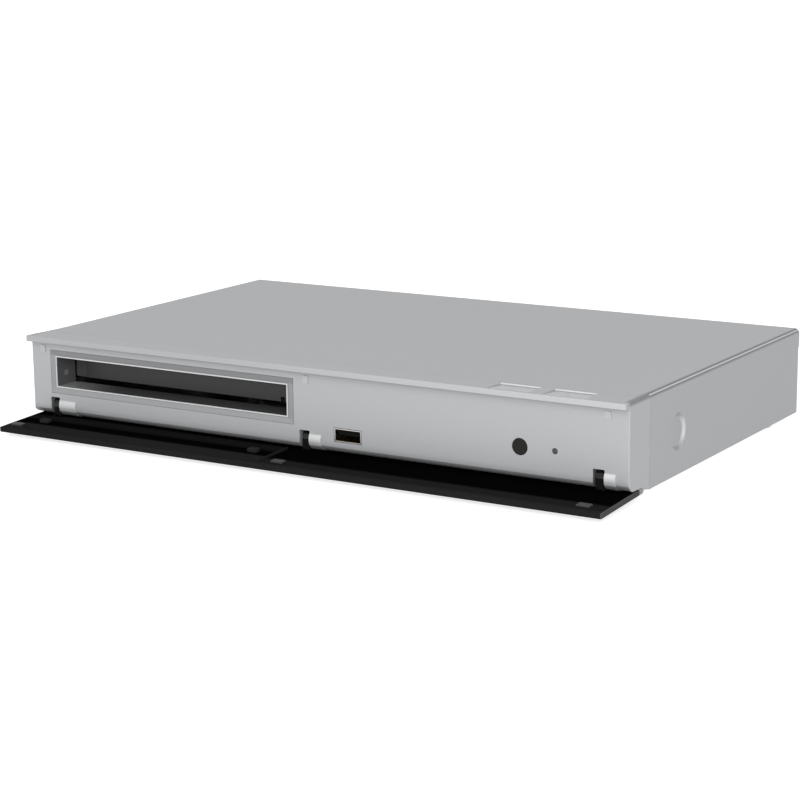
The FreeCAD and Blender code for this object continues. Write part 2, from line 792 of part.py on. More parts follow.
def feet():
    """Four feet: a domed light moulding with a stud through the floor."""
    group_of_feet = []
    for x, y in foot_places:
        pad = rounded(rod((x, y, 0), (0, 0, 1), foot_radius, foot_height), foot_round, lambda at: at.z < near)
        stud = rod((x, y, foot_height / 2), (0, 0, 1), stud_radius, foot_height / 2 + sheet)
        group_of_feet.append(join([pad, stud]))
    return group(group_of_feet)


def cover_screws():
    """Three screws through the cover's rear lip into the rear panel."""
    return group([
        screw((x, case_depth, rear_screw_z), (0, -1, 0), *rear_screw_head, rear_screw_radius, rear_screw_length)
        for x in rear_screw_x
    ])


def panel_screws():
    """Screws from below that hold the front moulding's hooks to the floor."""
    return group([
        screw((x, panel_screw_y, base_z), (0, 0, 1), *panel_screw_head, panel_screw_radius, sheet + hook_height)
        for x in panel_hook_x
    ])


def board_screws():
    """Screws of the main board, the power board and the front board."""
    screws = [
        screw((x, y, board_z1), (0, 0, -1), *board_screw_head, board_screw_radius, board_screw_length)
        for x, y in main_corners + power_corners
    ]
    for x, z in front_board_posts:
        screws.append(screw((x, front_board_y + board_thickness, z), (0, -1, 0), *front_screw_head,
                            front_screw_radius, front_screw_length))
    return group(screws)


def front_board():
    """Board behind the right half of the panel, with holes for the socket and screws."""
    y0 = front_board_y - over
    through = board_thickness + 2 * over
    board = box(front_board_x0, front_board_x1, front_board_y, front_board_y + board_thickness,
                front_board_low, front_board_high)
    cuts = [box(usb_x0 - shaft_gap, usb_x1 + shaft_gap, y0, y0 + through, usb_above_base - shaft_gap,
                usb_above_base + usb_height + shaft_gap)]
    for x, z in front_board_posts:
        cuts.append(rod((x, y0, z), (0, 1, 0), front_screw_radius + screw_gap, through))
    return board.cut(cuts)


def button(x):
    """Key cap that dips to the rear, with a stem through the strip and a hook under it."""
    half = button_width / 2
    cap = slot_z(x - half, x + half, button_front_y, button_rear_y, case_height - button_cap, case_height,
                 button_corner)
    cap = cap.cut(along_x([
        (button_front_y, case_height), (button_rear_y, case_height - button_dip),
        (button_rear_y + over, case_height - button_dip), (button_rear_y + over, case_height + over),
        (button_front_y, case_height + over),
    ], x - half - over, x + half + over))
    tops = [
        e for e in cap.Edges
        if abs(e.tangentAt(e.FirstParameter).z) < 0.5 and e.CenterOfMass.z > case_height - button_cap + near
    ]
    cap = cap.makeFillet(edge_round, tops)
    stem_low = switch_top_z + switch_plunger_height + button_travel + seat_gap
    stem = box(x - stem_half, x + stem_half, stem_y0, stem_y1, stem_low, case_height - button_cap)
    hook_top = lip_under_z - seat_gap
    hook = box(x - stem_half - button_hook_side, x + stem_half + button_hook_side, stem_y0 - button_hook_front,
               stem_y1 + button_hook_front, hook_top - button_hook, hook_top)
    return join([cap, stem, hook])


def button_switches():
    """Two tact switches on the front board, plungers up."""
    wide, deep, high = switch_size
    low = switch_top_z - high
    switches = []
    for x in (power_x, open_x):
        body = box(x - wide / 2, x + wide / 2, front_board_y - deep, front_board_y, low, switch_top_z)
        plunger = rod((x, button_stem_y, low), (0, 0, 1), switch_plunger_radius, high + switch_plunger_height)
        switches.append(join([body, plunger]))
    return group(switches)


def lens_plug(x, radius):
    """Round window with a flange behind the panel's wall."""
    front = rod((x, panel_face_y + window_gap, display_above_base), (0, 1, 0), radius, panel_wall)
    front = rounded(front, edge_round, lambda at: abs(at.y - panel_face_y - window_gap) < near)
    flange = rod((x, panel_inner_y, display_above_base), (0, 1, 0), radius + window_flange,
                 window_flange_thickness)
    return join([front, flange])


def remote_receiver():
    """Receiver behind the round window, on the front board."""
    half = receiver_height / 2
    front_y = front_board_y - receiver_depth
    body = box(window_x - receiver_half, window_x + receiver_half, front_y, front_board_y,
               display_above_base - half, display_above_base + half)
    dome = Part.makeSphere(receiver_dome, Vec(window_x, front_y, display_above_base))
    return join([body, dome])


def status_led():
    """Small lamp behind the light guide, on the front board."""
    body = rod((light_x, front_board_y, display_above_base), (0, -1, 0), led_radius, led_depth)
    dome = Part.makeSphere(led_radius, Vec(light_x, front_board_y - led_depth, display_above_base))
    return join([body, dome])


usb_y0 = panel_face_y + window_gap
usb_back_y = usb_y0 + usb_length - usb_wall


def usb_shell():
    """Steel shell of the front socket."""
    z0 = usb_above_base
    wall = usb_wall
    outer = box(usb_x0, usb_x1, usb_y0, usb_y0 + usb_length, z0, z0 + usb_height)
    inner = box(usb_x0 + wall, usb_x1 - wall, usb_y0 - over, usb_back_y, z0 + wall, z0 + usb_height - wall)
    return outer.cut(inner)


def usb_insert():
    """Black insert with the contact tongue, seated in the shell's back."""
    wall = usb_wall
    z0 = usb_above_base
    block = box(usb_x0 + wall, usb_x1 - wall, usb_back_y - usb_insert_depth, usb_back_y, z0 + wall,
                z0 + usb_height - wall)
    inset = wall + usb_tongue_inset
    tongue = box(usb_x0 + inset, usb_x1 - inset, panel_face_y + usb_recess, usb_back_y,
                 z0 + usb_tongue_above_shell[0], z0 + usb_tongue_above_shell[1])
    return join([block, tongue])


def rear_socket(name):
    """Body of a rear socket with its cavity, standing on its board."""
    x, size = next((x, size) for found, x, size in sockets() if found == name)
    y0 = socket_end_y - size[1]
    return x, size, y0, box(x, x + size[0], y0, socket_end_y, board_z1, board_z1 + size[2])


def hdmi_socket():
    """Video socket: steel shell with a contact tongue."""
    x, size, y0, body = rear_socket("hdmi_socket")
    side, low = hdmi_wall
    bevel_x, bevel_z = hdmi_bevel
    x0 = x + side
    x1 = x + size[0] - side
    z0 = board_z1 + low
    z1 = board_z1 + size[2] - low
    mouth = along_y([
        (x0, z0 + bevel_z), (x0 + bevel_x, z0), (x1 - bevel_x, z0), (x1, z0 + bevel_z), (x1, z1), (x0, z1),
    ], y0 + hdmi_back_wall, socket_end_y + over)
    mid_z = (z0 + z1) / 2
    inset = bevel_x + hdmi_tongue_side
    tongue = box(x0 + inset, x1 - inset, y0 + hdmi_tongue_start, socket_end_y - hdmi_tongue_set_back,
                 mid_z - hdmi_tongue_half, mid_z + hdmi_tongue_half)
    return body.cut(mouth).fuse(tongue).removeSplitter()


def lan_socket():
    """Network socket with a deep mouth and a latch notch."""
    x, size, y0, body = rear_socket("lan_socket")
    mid = x + size[0] / 2
    wide, deep, high = lan_mouth
    low = board_z1 + lan_mouth_low
    mouth = box(mid - wide / 2, mid + wide / 2, socket_end_y - deep, socket_end_y + over, low, low + high)
    wide, deep = lan_notch
    notch = box(mid - wide / 2, mid + wide / 2, socket_end_y - deep, socket_end_y + over,
                board_z1 + lan_notch_low, low + over)
    return body.cut([mouth, notch])


def optical_socket():
    """Optical output with a shutter just inside its mouth."""
    x, size, y0, body = rear_socket("optical_socket")
    mid = x + size[0] / 2
    wide, deep, high = optical_mouth
    mid_z = board_z1 + size[2] / 2
    mouth = box(mid - wide / 2, mid + wide / 2, socket_end_y - deep, socket_end_y + over,
                mid_z - high / 2, mid_z + high / 2)
    return body.cut(mouth)


def mains_inlet():
    """Two-pin mains inlet: moulded body with a figure-eight cavity."""
    x, size, y0, body = rear_socket("mains_inlet")
    mid = x + size[0] / 2
    wide, deep, high = inlet_cavity
    mid_z = board_z1 + size[2] / 2
    start = socket_end_y - deep
    offset = (wide - high) / 2
    cavity = box(mid - offset, mid + offset, start, socket_end_y + over, mid_z - high / 2, mid_z + high / 2)
    rounds = [rod((mid + way * offset, start, mid_z), (0, 1, 0), high / 2, deep + over) for way in (-1, 1)]
    return body.cut([cavity] + rounds)


def mains_pins():
    """Two brass pins, seated in the floor of the inlet's cavity."""
    x = inlet_x + inlet_size[0] / 2
    mid_z = board_z1 + inlet_size[2] / 2
    start = socket_end_y - inlet_cavity[1]
    pins = []
    for way in (-1, 1):
        pin = rod((x + way * inlet_pin_pitch / 2, start, mid_z), (0, 1, 0), inlet_pin_radius, inlet_pin_length)
        pins.append(rounded(pin, inlet_pin_round, lambda at: abs(at.y - start - inlet_pin_length) < near))
    return group(pins)


def circuit_board(x0, x1, y0, corners):
    """Flat board with a hole at each screw place."""
    board = box(x0, x1, y0, board_y1, board_z0, board_z1)
    return board.cut([
        rod((x, y, board_z0 - over), (0, 0, 1), board_hole_radius, board_thickness + 2 * over) for x, y in corners
    ])


# What stands on the two boards
chip_size = 22.0
chip_height = 2.0
chip_x = (main_x0 + main_x1) / 2
chip_y = main_y0 + 54.0
sink_size = 36.0
sink_base = 2.0
sink_height = 14.0
fin_count = 9
fin_thickness = 1.2
transformer_size = (24.0, 22.0, 17.0)
transformer_base = 3.0
winding_inset = 3.0
winding_reach = 2.0
winding_step = 1.5
bobbin_step = 1.0
transformer_x = power_x0 + 12.0
transformer_y = power_y0 + 38.0
capacitor_places = [(power_x0 + 40.0, power_y0 + 24.0, 8.0, 24.0), (power_x0 + 14.0, power_y0 + 16.0, 5.0, 16.0),
                    (power_x0 + 26.0, power_y0 + 12.0, 4.0, 12.0)]
capacitor_round = 0.6


def main_chip():
    """Flat package under the heat sink."""
    half = chip_size / 2
    return box(chip_x - half, chip_x + half, chip_y - half, chip_y + half, board_z1, board_z1 + chip_height)


def heat_sink():
    """Extruded sink: a base plate with upright fins."""
    half = sink_size / 2
    z0 = board_z1 + chip_height
    parts = [box(chip_x - half, chip_x + half, chip_y - half, chip_y + half, z0, z0 + sink_base)]
    pitch = (sink_size - fin_thickness) / (fin_count - 1)
    for index in range(fin_count):
        x = chip_x - half + index * pitch
        parts.append(box(x, x + fin_thickness, chip_y - half, chip_y + half, z0, z0 + sink_height))
    return join(parts)


def transformer():
    """Wound transformer: two core halves round a taped winding."""
    wide, deep, high = transformer_size
    x0, x1 = transformer_x, transformer_x + wide
    y0, y1 = transformer_y, transformer_y + deep
    z0 = board_z1 + transformer_base
    z1 = board_z1 + high
    core = box(x0, x1, y0, y1, z0, z1)
    winding = box(x0 + winding_inset, x1 - winding_inset, y0 - winding_reach, y1 + winding_reach,
                  z0 + winding_step, z1 - winding_step)
    bobbin = box(x0 + bobbin_step, x1 - bobbin_step, y0 - bobbin_step, y1 + bobbin_step, board_z1, z0)
    return join([core, winding, bobbin])


def capacitors():
    """Upright capacitors on the power board."""
    cans = []
    for x, y, radius, height in capacitor_places:
        can = rod((x, y, board_z1), (0, 0, 1), radius, height)
        cans.append(rounded(can, capacitor_round, lambda at: abs(at.z - board_z1 - height) < near))
    return group(cans)


def insulator_sheet():
    """Thin sheet on the floor under the power board."""
    rear = rear_wall_y0 - rear_flange - seat_gap
    film = box(power_x0, power_x1, power_y0, rear, floor_z, floor_z + insulator_thickness)
    return film.cut([
        rod((x, y, floor_z - over), (0, 0, 1), standoff_radius + screw_gap, 2 * over) for x, y in power_corners
    ])


# Flat cables, their plugs and the wires between the boards
front_cable_x = half_width * 0.36
cable_width = 14.0
cable_thickness = 0.3
cable_z = 22.0
cable_above_board = 3.0
cable_back_y = front_board_y + board_thickness
cable_straight = 6.0
cable_dip = (16.0, 3.0)
cable_landing = (10.0, 2.0)
cable_end = 3.0
loader_cable_y = main_y0 + 40.0
loader_cable_width = 20.0
loader_plug_x = main_x0 + 5.0
plug_depth = 4.0
plug_side = 1.5
plug_height = 5.0
rear_plug_y = main_y0 + 6.0
harness_y = board_y1 - board_screw_inset - 9.5
harness_radius = 1.2
harness_pitch = 3.2
harness_rise = 10.0
harness_bend = 5.0
harness_plug = (8.0, 12.0, 7.0)
harness_plug_inset = 2.0
harness_x0 = main_x1 - harness_plug_inset - harness_plug[0] / 2
harness_x1 = power_x0 + harness_plug_inset + harness_plug[0] / 2


def front_cable():
    """Flat cable from the front board to the main board: a band along (y, z) points."""
    start_y = cable_back_y + plug_depth
    low = board_z1 + cable_above_board
    points = [
        (start_y, cable_z), (start_y + cable_straight, cable_z),
        (start_y + cable_dip[0], cable_z - cable_dip[1]),
        (rear_plug_y - cable_landing[0], low + cable_landing[1]), (rear_plug_y - cable_end, low),
        (rear_plug_y, low),
    ]
    upper = [(y, z + cable_thickness) for y, z in reversed(points)]
    return along_x(points + upper, front_cable_x - cable_width / 2, front_cable_x + cable_width / 2)


def loader_cable():
    """Flat cable from the loader's side to the main board."""
    z = board_z1 + cable_above_board
    return box(loader_x1 + seat_gap, loader_plug_x, loader_cable_y, loader_cable_y + loader_cable_width,
               z, z + cable_thickness)


def cable_plugs():
    """White connectors at the ends of the cables."""
    half = cable_width / 2 + plug_side
    top = board_z1 + plug_height
    plugs = [
        box(front_cable_x - half, front_cable_x + half, cable_back_y, cable_back_y + plug_depth,
            cable_z - plug_side, cable_z + cable_thickness + plug_side),
        box(front_cable_x - half, front_cable_x + half, rear_plug_y, rear_plug_y + plug_depth, board_z1, top),
        box(loader_plug_x, loader_plug_x + plug_depth, loader_cable_y - plug_side,
            loader_cable_y + loader_cable_width + plug_side, board_z1, top),
    ]
    wide, deep, high = harness_plug
    for x in (harness_x0, harness_x1):
        plugs.append(box(x - wide / 2, x + wide / 2, harness_y - deep / 2, harness_y + deep / 2, board_z1,
                         board_z1 + high))
    return group(plugs)


def power_harness():
    """Three wires from the power board's plug over to the main board's plug."""
    wires = []
    bend = harness_bend
    x0 = harness_x0
    x1 = harness_x1
    low = board_z1 + harness_plug[2]
    high = low + harness_rise
    half = bend * (1 - math.sqrt(0.5))
    for index in (-1, 0, 1):
        y = harness_y + index * harness_pitch
        path = [
            Part.LineSegment(Vec(x0, y, low), Vec(x0, y, high - bend)).toShape(),
            Part.Arc(Vec(x0, y, high - bend), Vec(x0 + half, y, high - half), Vec(x0 + bend, y, high)).toShape(),
            Part.LineSegment(Vec(x0 + bend, y, high), Vec(x1 - bend, y, high)).toShape(),
            Part.Arc(Vec(x1 - bend, y, high), Vec(x1 - half, y, high - half), Vec(x1, y, high - bend)).toShape(),
            Part.LineSegment(Vec(x1, y, high - bend), Vec(x1, y, low)).toShape(),
        ]
        circle = Part.Wire(Part.makeCircle(harness_radius, Vec(x0, y, low), Vec(0, 0, 1)))
        wires.append(Part.Wire(path).makePipeShell([circle], True, False))
    return group(wires)


# Disc tray
tray_side_gap = 0.55
tray_top_gap = 0.6
tray_travel = 136.0
tray_overlap = 28.0
tray_length = tray_travel + tray_overlap
tray_plate_drop = 7.2
tray_plate_thickness = 4.0
tray_fascia_thickness = 2.2
tray_fascia_clear = 2.7
wing_width = 6.3
wing_setback = 0.6
disc_offset = 67.0
disc_recess_radius = 60.5
small_recess_radius = 40.5
tray_slot_half = 21.0
tray_slot_reach = (22.0, 68.0)
tray_slot_round = 12.0
disc_recess_depth = 1.6
small_recess_depth = 2.6
tray_plate_start = 1.0
tray_rib_reach = (2.0, 8.0)
tray_rib_low = 0.5
tray_rib_thickness = 1.2
tray_rib_from_left = 8.0
tray_rib_from_right = 20.0
tray_notch_width = 2.3
tray_notch_height = 2.2
tray_notch_from_right = 9.7
grip_radius = 11.0
grip_from_disc = 30.0
grip_floor = 1.2
rack_above_low = 0.3
tray_x0 = opening_x0 + tray_side_gap
tray_x1 = opening_x1 - tray_side_gap
tray_y0 = tunnel_end_y
tray_y1 = tray_y0 + tray_length
tray_z0 = opening_z1 - tray_plate_drop
tray_z1 = tray_z0 + tray_plate_thickness
disc_y = tray_y0 + disc_offset

# Gear train: rack and gear sizes in module, teeth and pressure angle
rack_module = 1.0
rack_pitch_x = tray_x1 - 11.0
pinion_teeth = 18
train_module = 0.8
wheel_teeth = 36
small_teeth = 12
mesh_gap = 0.06
tooth_thinning = 0.12
pressure_angle = 20.0
root_share = 1.25
tip_share = 0.95
flank_low = 0.8
flank_high = 1.25
tooth_sunk = 0.3
gear_root_overlap = 0.02
rack_back = 3.0
rack_start = 4.0
rack_teeth_start = 6.0
rack_teeth_end = 2.0
gear_y = 38.5
gear_x = rack_pitch_x - rack_module * pinion_teeth / 2 - mesh_gap
small_x = gear_x - train_module * (wheel_teeth + small_teeth) / 2 - mesh_gap
pulley_radius = 8.0
motor_pulley_radius = 3.5
motor_shaft_radius = 1.0
motor_shaft_above = 0.3
motor_radius = 10.0
motor_round = 1.0
motor_collar = (2.2, 0.5)
motor_below_pulley = 0.9
motor_x = small_x - 34.0
belt_size = 1.4
belt_gap = 0.3
belt_slack = 0.1
groove_gap = 0.25
gear_post_radius = 2.0
gear_post_shoulder = 2.0
gear_post_above = 0.2
tray_gear_hub = 6.0
pulley_hub = 3.6
small_gear_extra = 0.3


def gear(module, teeth, x, y, z0, z1, first_angle):
    """Spur gear with straight-flanked teeth, one tooth centred on the first angle in degrees."""
    pitch = module * teeth / 2
    root = pitch - root_share * module
    tip = pitch + tip_share * module
    half = (math.pi * module / 2 - tooth_thinning) / 2
    lean = math.tan(math.radians(pressure_angle))
    base_half = half + (pitch - root) * lean * flank_low
    tip_half = half - (tip - pitch) * lean * flank_high
    blank = rod((x, y, z0), (0, 0, 1), root + gear_root_overlap, z1 - z0)
    sunk = root - tooth_sunk
    tooth = [
        (sunk, -base_half), (root, -base_half), (pitch, -half), (tip, -tip_half),
        (tip, tip_half), (pitch, half), (root, base_half), (sunk, base_half),
    ]
    points = []
    for index in range(teeth):
        angle = math.radians(first_angle) + 2 * math.pi * index / teeth
        c, s = math.cos(angle), math.sin(angle)
        points.append([(x + r * c - t * s, y + r * s + t * c) for r, t in tooth])
    return blank.fuse([along_z(outline, z0, z1) for outline in points]).removeSplitter()


def rack_teeth(z0, z1):
    """Rack under the tray: teeth point left, one gap centred on the gear's middle."""
    module = rack_module
    pitch_length = math.pi * module
    half = (pitch_length / 2 - tooth_thinning) / 2
    lean = math.tan(math.radians(pressure_angle))
    root_x = rack_pitch_x + root_share * module
    tip_x = rack_pitch_x - tip_share * module
    sunk_x = root_x + tooth_sunk
    base = half + root_share * module * lean
    tip = half - tip_share * module * lean
    bar = box(root_x, root_x + rack_back, tray_y0 + rack_start, tray_y1, z0, z1)
    teeth = []
    first = math.ceil((tray_y0 + rack_teeth_start - gear_y) / pitch_length - 0.5)
    last = math.floor((tray_y1 - rack_teeth_end - gear_y) / pitch_length - 0.5)
    for index in range(first, last + 1):
        y = gear_y + (index + 0.5) * pitch_length
        teeth.append(along_z([(sunk_x, y - base), (root_x, y - base), (tip_x, y - tip),
                              (tip_x, y + tip), (root_x, y + base), (sunk_x, y + base)], z0, z1))
    return bar.fuse(teeth)


def tray():
    """Disc tray with its front face, disc recesses, spindle slot and rack."""
    top = opening_z1 - tray_top_gap
    low = opening_z0 + tray_fascia_clear
    face_back = tray_y0 + tray_fascia_thickness
    main = box(tray_x0 + wing_width, tray_x1, tray_y0, face_back, low, top)
    wing = box(tray_x0, tray_x0 + wing_width, tray_y0 + wing_setback, face_back, low, top)
    plate = box(tray_x0, tray_x1, tray_y0 + tray_plate_start, tray_y1, tray_z0, tray_z1)
    parts = [main, wing, plate]
    rib_y0 = tray_y0 + tray_rib_reach[0]
    rib_y1 = tray_y0 + tray_rib_reach[1]
    for x in (tray_x0 + tray_rib_from_left, tray_x1 - tray_rib_from_right, disc_x):
        parts.append(along_x([(rib_y0, low + tray_rib_low), (rib_y0, tray_z0), (rib_y1, tray_z0)], x,
                             x + tray_rib_thickness))
    body = join(parts)
    notch_x = tray_x1 - tray_notch_from_right
    notch = box(notch_x - tray_notch_width, notch_x, tray_y0 - over, face_back + over, low - over,
                low + tray_notch_height)
    recess = rod((disc_x, disc_y, tray_z1 - disc_recess_depth), (0, 0, 1), disc_recess_radius,
                 disc_recess_depth + over)
    small = rod((disc_x, disc_y, tray_z1 - small_recess_depth), (0, 0, 1), small_recess_radius,
                small_recess_depth + over)
    slot = slot_z(disc_x - tray_slot_half, disc_x + tray_slot_half, disc_y - tray_slot_reach[0],
                  disc_y + tray_slot_reach[1], tray_z0 - over, tray_z1 + over, tray_slot_round)
    grips = [
        rod((disc_x + way * disc_recess_radius, disc_y - grip_from_disc, tray_z0 + grip_floor), (0, 0, 1),
            grip_radius, tray_plate_thickness) for way in (-1, 1)
    ]
    body = body.cut([notch, recess, small, slot] + grips)
    return body.fuse(rack_teeth(low + rack_above_low, tray_z0)).removeSplitter()


# Levels of the loader, from the case floor up
frame_z0 = floor_z + loader_lift
frame_z1 = frame_z0 + 1.5
frame_wall = 3.2
wheel_z0 = frame_z1 + 8.2
wheel_z1 = wheel_z0 + 2.5
pinion_z0 = tray_z0 - 4.6
pinion_z1 = tray_z0 - 0.6
pulley_z0 = tray_z0 - 4.8
pulley_z1 = tray_z0 - 1.2
bridge_z0 = tray_z1 + 4.0
bridge_thickness = 1.6
bridge_half = 20.0
bridge_rib_inset = 6.0
bridge_rib_thickness = 1.6
bridge_rib_height = 2.0
bridge_screw_inset = 4.0
bridge_screw_radius = 1.0
bridge_screw_gap = 0.1
bridge_screw_head = (1.55, 1.2)
bridge_screw_length = 7.0
loader_screw_head = (2.6, 1.5)
loader_screw_length = 3.4
ledge_reach = 4.0
ledge_below_tray = 2.5
keeper_from_front = 2.0
keeper_from_disc = 24.0
keeper_from_rear = 16.0
keeper_length = 12.0
keeper_reach = 3.0
keeper_above_tray = 2.0
loader_rear_wall = 1.6
loader_rear_drop = 6.0
brace_thickness = 2.0
brace_below_wheel = 1.2
pivot_y = disc_y + 83.7
pivot_z = tray_z0 - 16.0
pivot_x = 44.2
pivot_radius = 1.5
pivot_post_gap = 2.8
pivot_post_width = 5.0
pivot_post_half = 4.0
pivot_pin_start = 7.6
pivot_pin_length = 10.4
traverse_tilt = 5.0
window_half = 47.0
window_y0 = disc_y - 27.6
window_y1 = pivot_y + 8.0


def loader_frame():
    """Loader moulding: floor with the traverse window, side walls, ledges, posts and gear pins."""
    low = frame_z0
    floor = box(loader_x0, loader_x1, loader_y0, loader_y1, low, frame_z1)
    window = box(disc_x - window_half, disc_x + window_half, window_y0, window_y1, low - over, frame_z1 + over)
    left = box(loader_x0, loader_x0 + frame_wall, loader_y0, loader_y1, low, bridge_z0)
    right = box(loader_x1 - frame_wall, loader_x1, loader_y0, loader_y1, low, bridge_z0)
    rear = box(loader_x0, loader_x1, loader_y1 - loader_rear_wall, loader_y1, low, bridge_z0 - loader_rear_drop)
    parts = [floor.cut(window), left, right, rear]
    inner_left = loader_x0 + frame_wall
    inner_right = loader_x1 - frame_wall
    for x0, x1 in ((inner_left - over, inner_left + ledge_reach),
                   (inner_right - ledge_reach, inner_right + over)):
        parts.append(box(x0, x1, loader_y0, loader_y1, tray_z0 - ledge_below_tray, tray_z0 - seat_gap))
    for y in (loader_y0 + keeper_from_front, disc_y + keeper_from_disc, loader_y1 - keeper_from_rear):
        for x0, x1 in ((inner_left - over, inner_left + keeper_reach),
                       (inner_right - keeper_reach, inner_right + over)):
            parts.append(box(x0, x1, y, y + keeper_length, tray_z1 + seat_gap, tray_z1 + keeper_above_tray))
    parts.append(box(loader_x0, loader_x1, window_y0 - brace_thickness, window_y0, low,
                     wheel_z0 - brace_below_wheel))
    for way in (-1, 1):
        x0, x1 = sorted((disc_x + way * (pivot_x + pivot_post_gap),
                         disc_x + way * (pivot_x + pivot_post_gap + pivot_post_width)))
        parts.append(box(x0, x1, pivot_y - pivot_post_half, pivot_y + pivot_post_half, low,
                         pivot_z + pivot_post_half))
    for x, top in ((gear_x, pinion_z1 + gear_post_above), (small_x, pulley_z1 + gear_post_above)):
        parts.append(rod((x, gear_y, low), (0, 0, 1), gear_post_radius, top - low))
        parts.append(rod((x, gear_y, low), (0, 0, 1), gear_post_radius + gear_post_shoulder,
                         wheel_z0 - seat_gap - low))
    frame = join(parts)
    cuts = [
        rod((x, y, low - over), (0, 0, 1), loader_screw_radius + seat_gap, frame_z1 - low + 2 * over)
        for x, y in loader_feet
    ]
    for way in (-1, 1):
        start = disc_x + way * (pivot_x + pivot_post_gap + pivot_post_width + over)
        cuts.append(rod((start, pivot_y, pivot_z), (-way, 0, 0), pivot_radius, pivot_post_width + 2 * over))
    for x, y in bridge_screw_places():
        cuts.append(rod((x, y, bridge_z0 - bridge_screw_length), (0, 0, 1), bridge_screw_radius,
                        bridge_screw_length + over))
    return frame.cut(cuts)


def bridge_screw_places():
    """Where the clamper's bridge is screwed to the loader's walls."""
    xs = (loader_x0 + frame_wall / 2, loader_x1 - frame_wall / 2)
    return [(x, disc_y + way * (bridge_half - bridge_screw_inset)) for x in xs for way in (-1, 1)]


def loader_screws():
    """Screws of the loader's feet and of the clamper's bridge."""
    screws = [
        screw((x, y, frame_z1), (0, 0, -1), *loader_screw_head, loader_screw_radius, loader_screw_length)
        for x, y in loader_feet
    ]
    for x, y in bridge_screw_places():
        screws.append(screw((x, y, bridge_z0 + bridge_thickness), (0, 0, -1), *bridge_screw_head,
                            bridge_screw_radius, bridge_screw_length))
    return group(screws)


def tray_gear():
    """Wheel and pinion in one piece, on the loader's front post."""
    wheel = gear(train_module, wheel_teeth, gear_x, gear_y, wheel_z0, wheel_z1, 180.0)
    hub = rod((gear_x, gear_y, wheel_z1 - join_overlap), (0, 0, 1), tray_gear_hub,
              pinion_z0 - wheel_z1 + 2 * join_overlap)
    pinion = gear(rack_module, pinion_teeth, gear_x, gear_y, pinion_z0, pinion_z1, 0.0)
    bore = rod((gear_x, gear_y, wheel_z0 - over), (0, 0, 1), gear_post_radius + shaft_gap,
               pinion_z1 - wheel_z0 + 2 * over)
    return wheel.fuse([hub, pinion]).cut(bore)


def grooved_pulley(x, radius, z0, z1):
    """Pulley with a belt groove round its middle."""
    body = rod((x, gear_y, z0), (0, 0, 1), radius, z1 - z0)
    mid = (z0 + z1) / 2
    half = belt_size / 2 + groove_gap
    ring = rod((x, gear_y, mid - half), (0, 0, 1), radius + over, 2 * half)
    core = rod((x, gear_y, mid - half), (0, 0, 1), radius - belt_size, 2 * half)
    return body.cut(ring.cut(core))


def pulley_gear():
    """Pulley with a small gear under it."""
    small = gear(train_module, small_teeth, small_x, gear_y, wheel_z0, wheel_z1 + small_gear_extra,
                 180.0 / small_teeth)
    hub = rod((small_x, gear_y, wheel_z1), (0, 0, 1), pulley_hub, pulley_z0 - wheel_z1 + join_overlap)
    pulley = grooved_pulley(small_x, pulley_radius, pulley_z0, pulley_z1)
    bore = rod((small_x, gear_y, wheel_z0 - over), (0, 0, 1), gear_post_radius + shaft_gap,
               pulley_z1 - wheel_z0 + 2 * over)
    return small.fuse([hub, pulley]).cut(bore)


def motor_pulley():
    """Small pulley on the loading motor's shaft."""
    pulley = grooved_pulley(motor_x, motor_pulley_radius, pulley_z0, pulley_z1)
    bore = rod((motor_x, gear_y, pulley_z0 - over), (0, 0, 1), motor_shaft_radius + shaft_gap,
               pulley_z1 - pulley_z0 + 2 * over)
    return pulley.cut(bore)


def belt_outline(grow, z0, z1):
    """Prism of the loop round both pulleys, grown from the groove's core."""
    big = pulley_radius - belt_size + belt_gap + grow
    small = motor_pulley_radius - belt_size + belt_gap + grow
    span = small_x - motor_x
    lean = math.asin((big - small) / span)
    c, s = math.cos(lean), math.sin(lean)
    strip = along_z([
        (small_x - big * s, gear_y + big * c), (motor_x - small * s, gear_y + small * c),
        (motor_x - small * s, gear_y - small * c), (small_x - big * s, gear_y - big * c),
    ], z0, z1)
    rounds = [
        rod((small_x, gear_y, z0), (0, 0, 1), big, z1 - z0),
        rod((motor_x, gear_y, z0), (0, 0, 1), small, z1 - z0),
    ]
    return strip.fuse(rounds).removeSplitter()


def drive_belt():
    """Square rubber belt round the two pulleys."""
    mid = (pulley_z0 + pulley_z1) / 2
    z0 = mid - belt_size / 2
    z1 = mid + belt_size / 2
    return belt_outline(belt_size - belt_slack, z0, z1).cut(belt_outline(0, z0, z1))



def loading_motor():
    """Flat motor can with its shaft up, standing on the loader's floor."""
    top = pulley_z0 - motor_below_pulley
    can = rod((motor_x, gear_y, frame_z1), (0, 0, 1), motor_radius, top - frame_z1)
    can = rounded(can, motor_round, lambda at: abs(at.z - top) < near)
    collar = rod((motor_x, gear_y, top), (0, 0, 1), *motor_collar)
    shaft = rod((motor_x, gear_y, top), (0, 0, 1), motor_shaft_radius, pulley_z1 - top + motor_shaft_above)
    return join([can, collar, shaft])


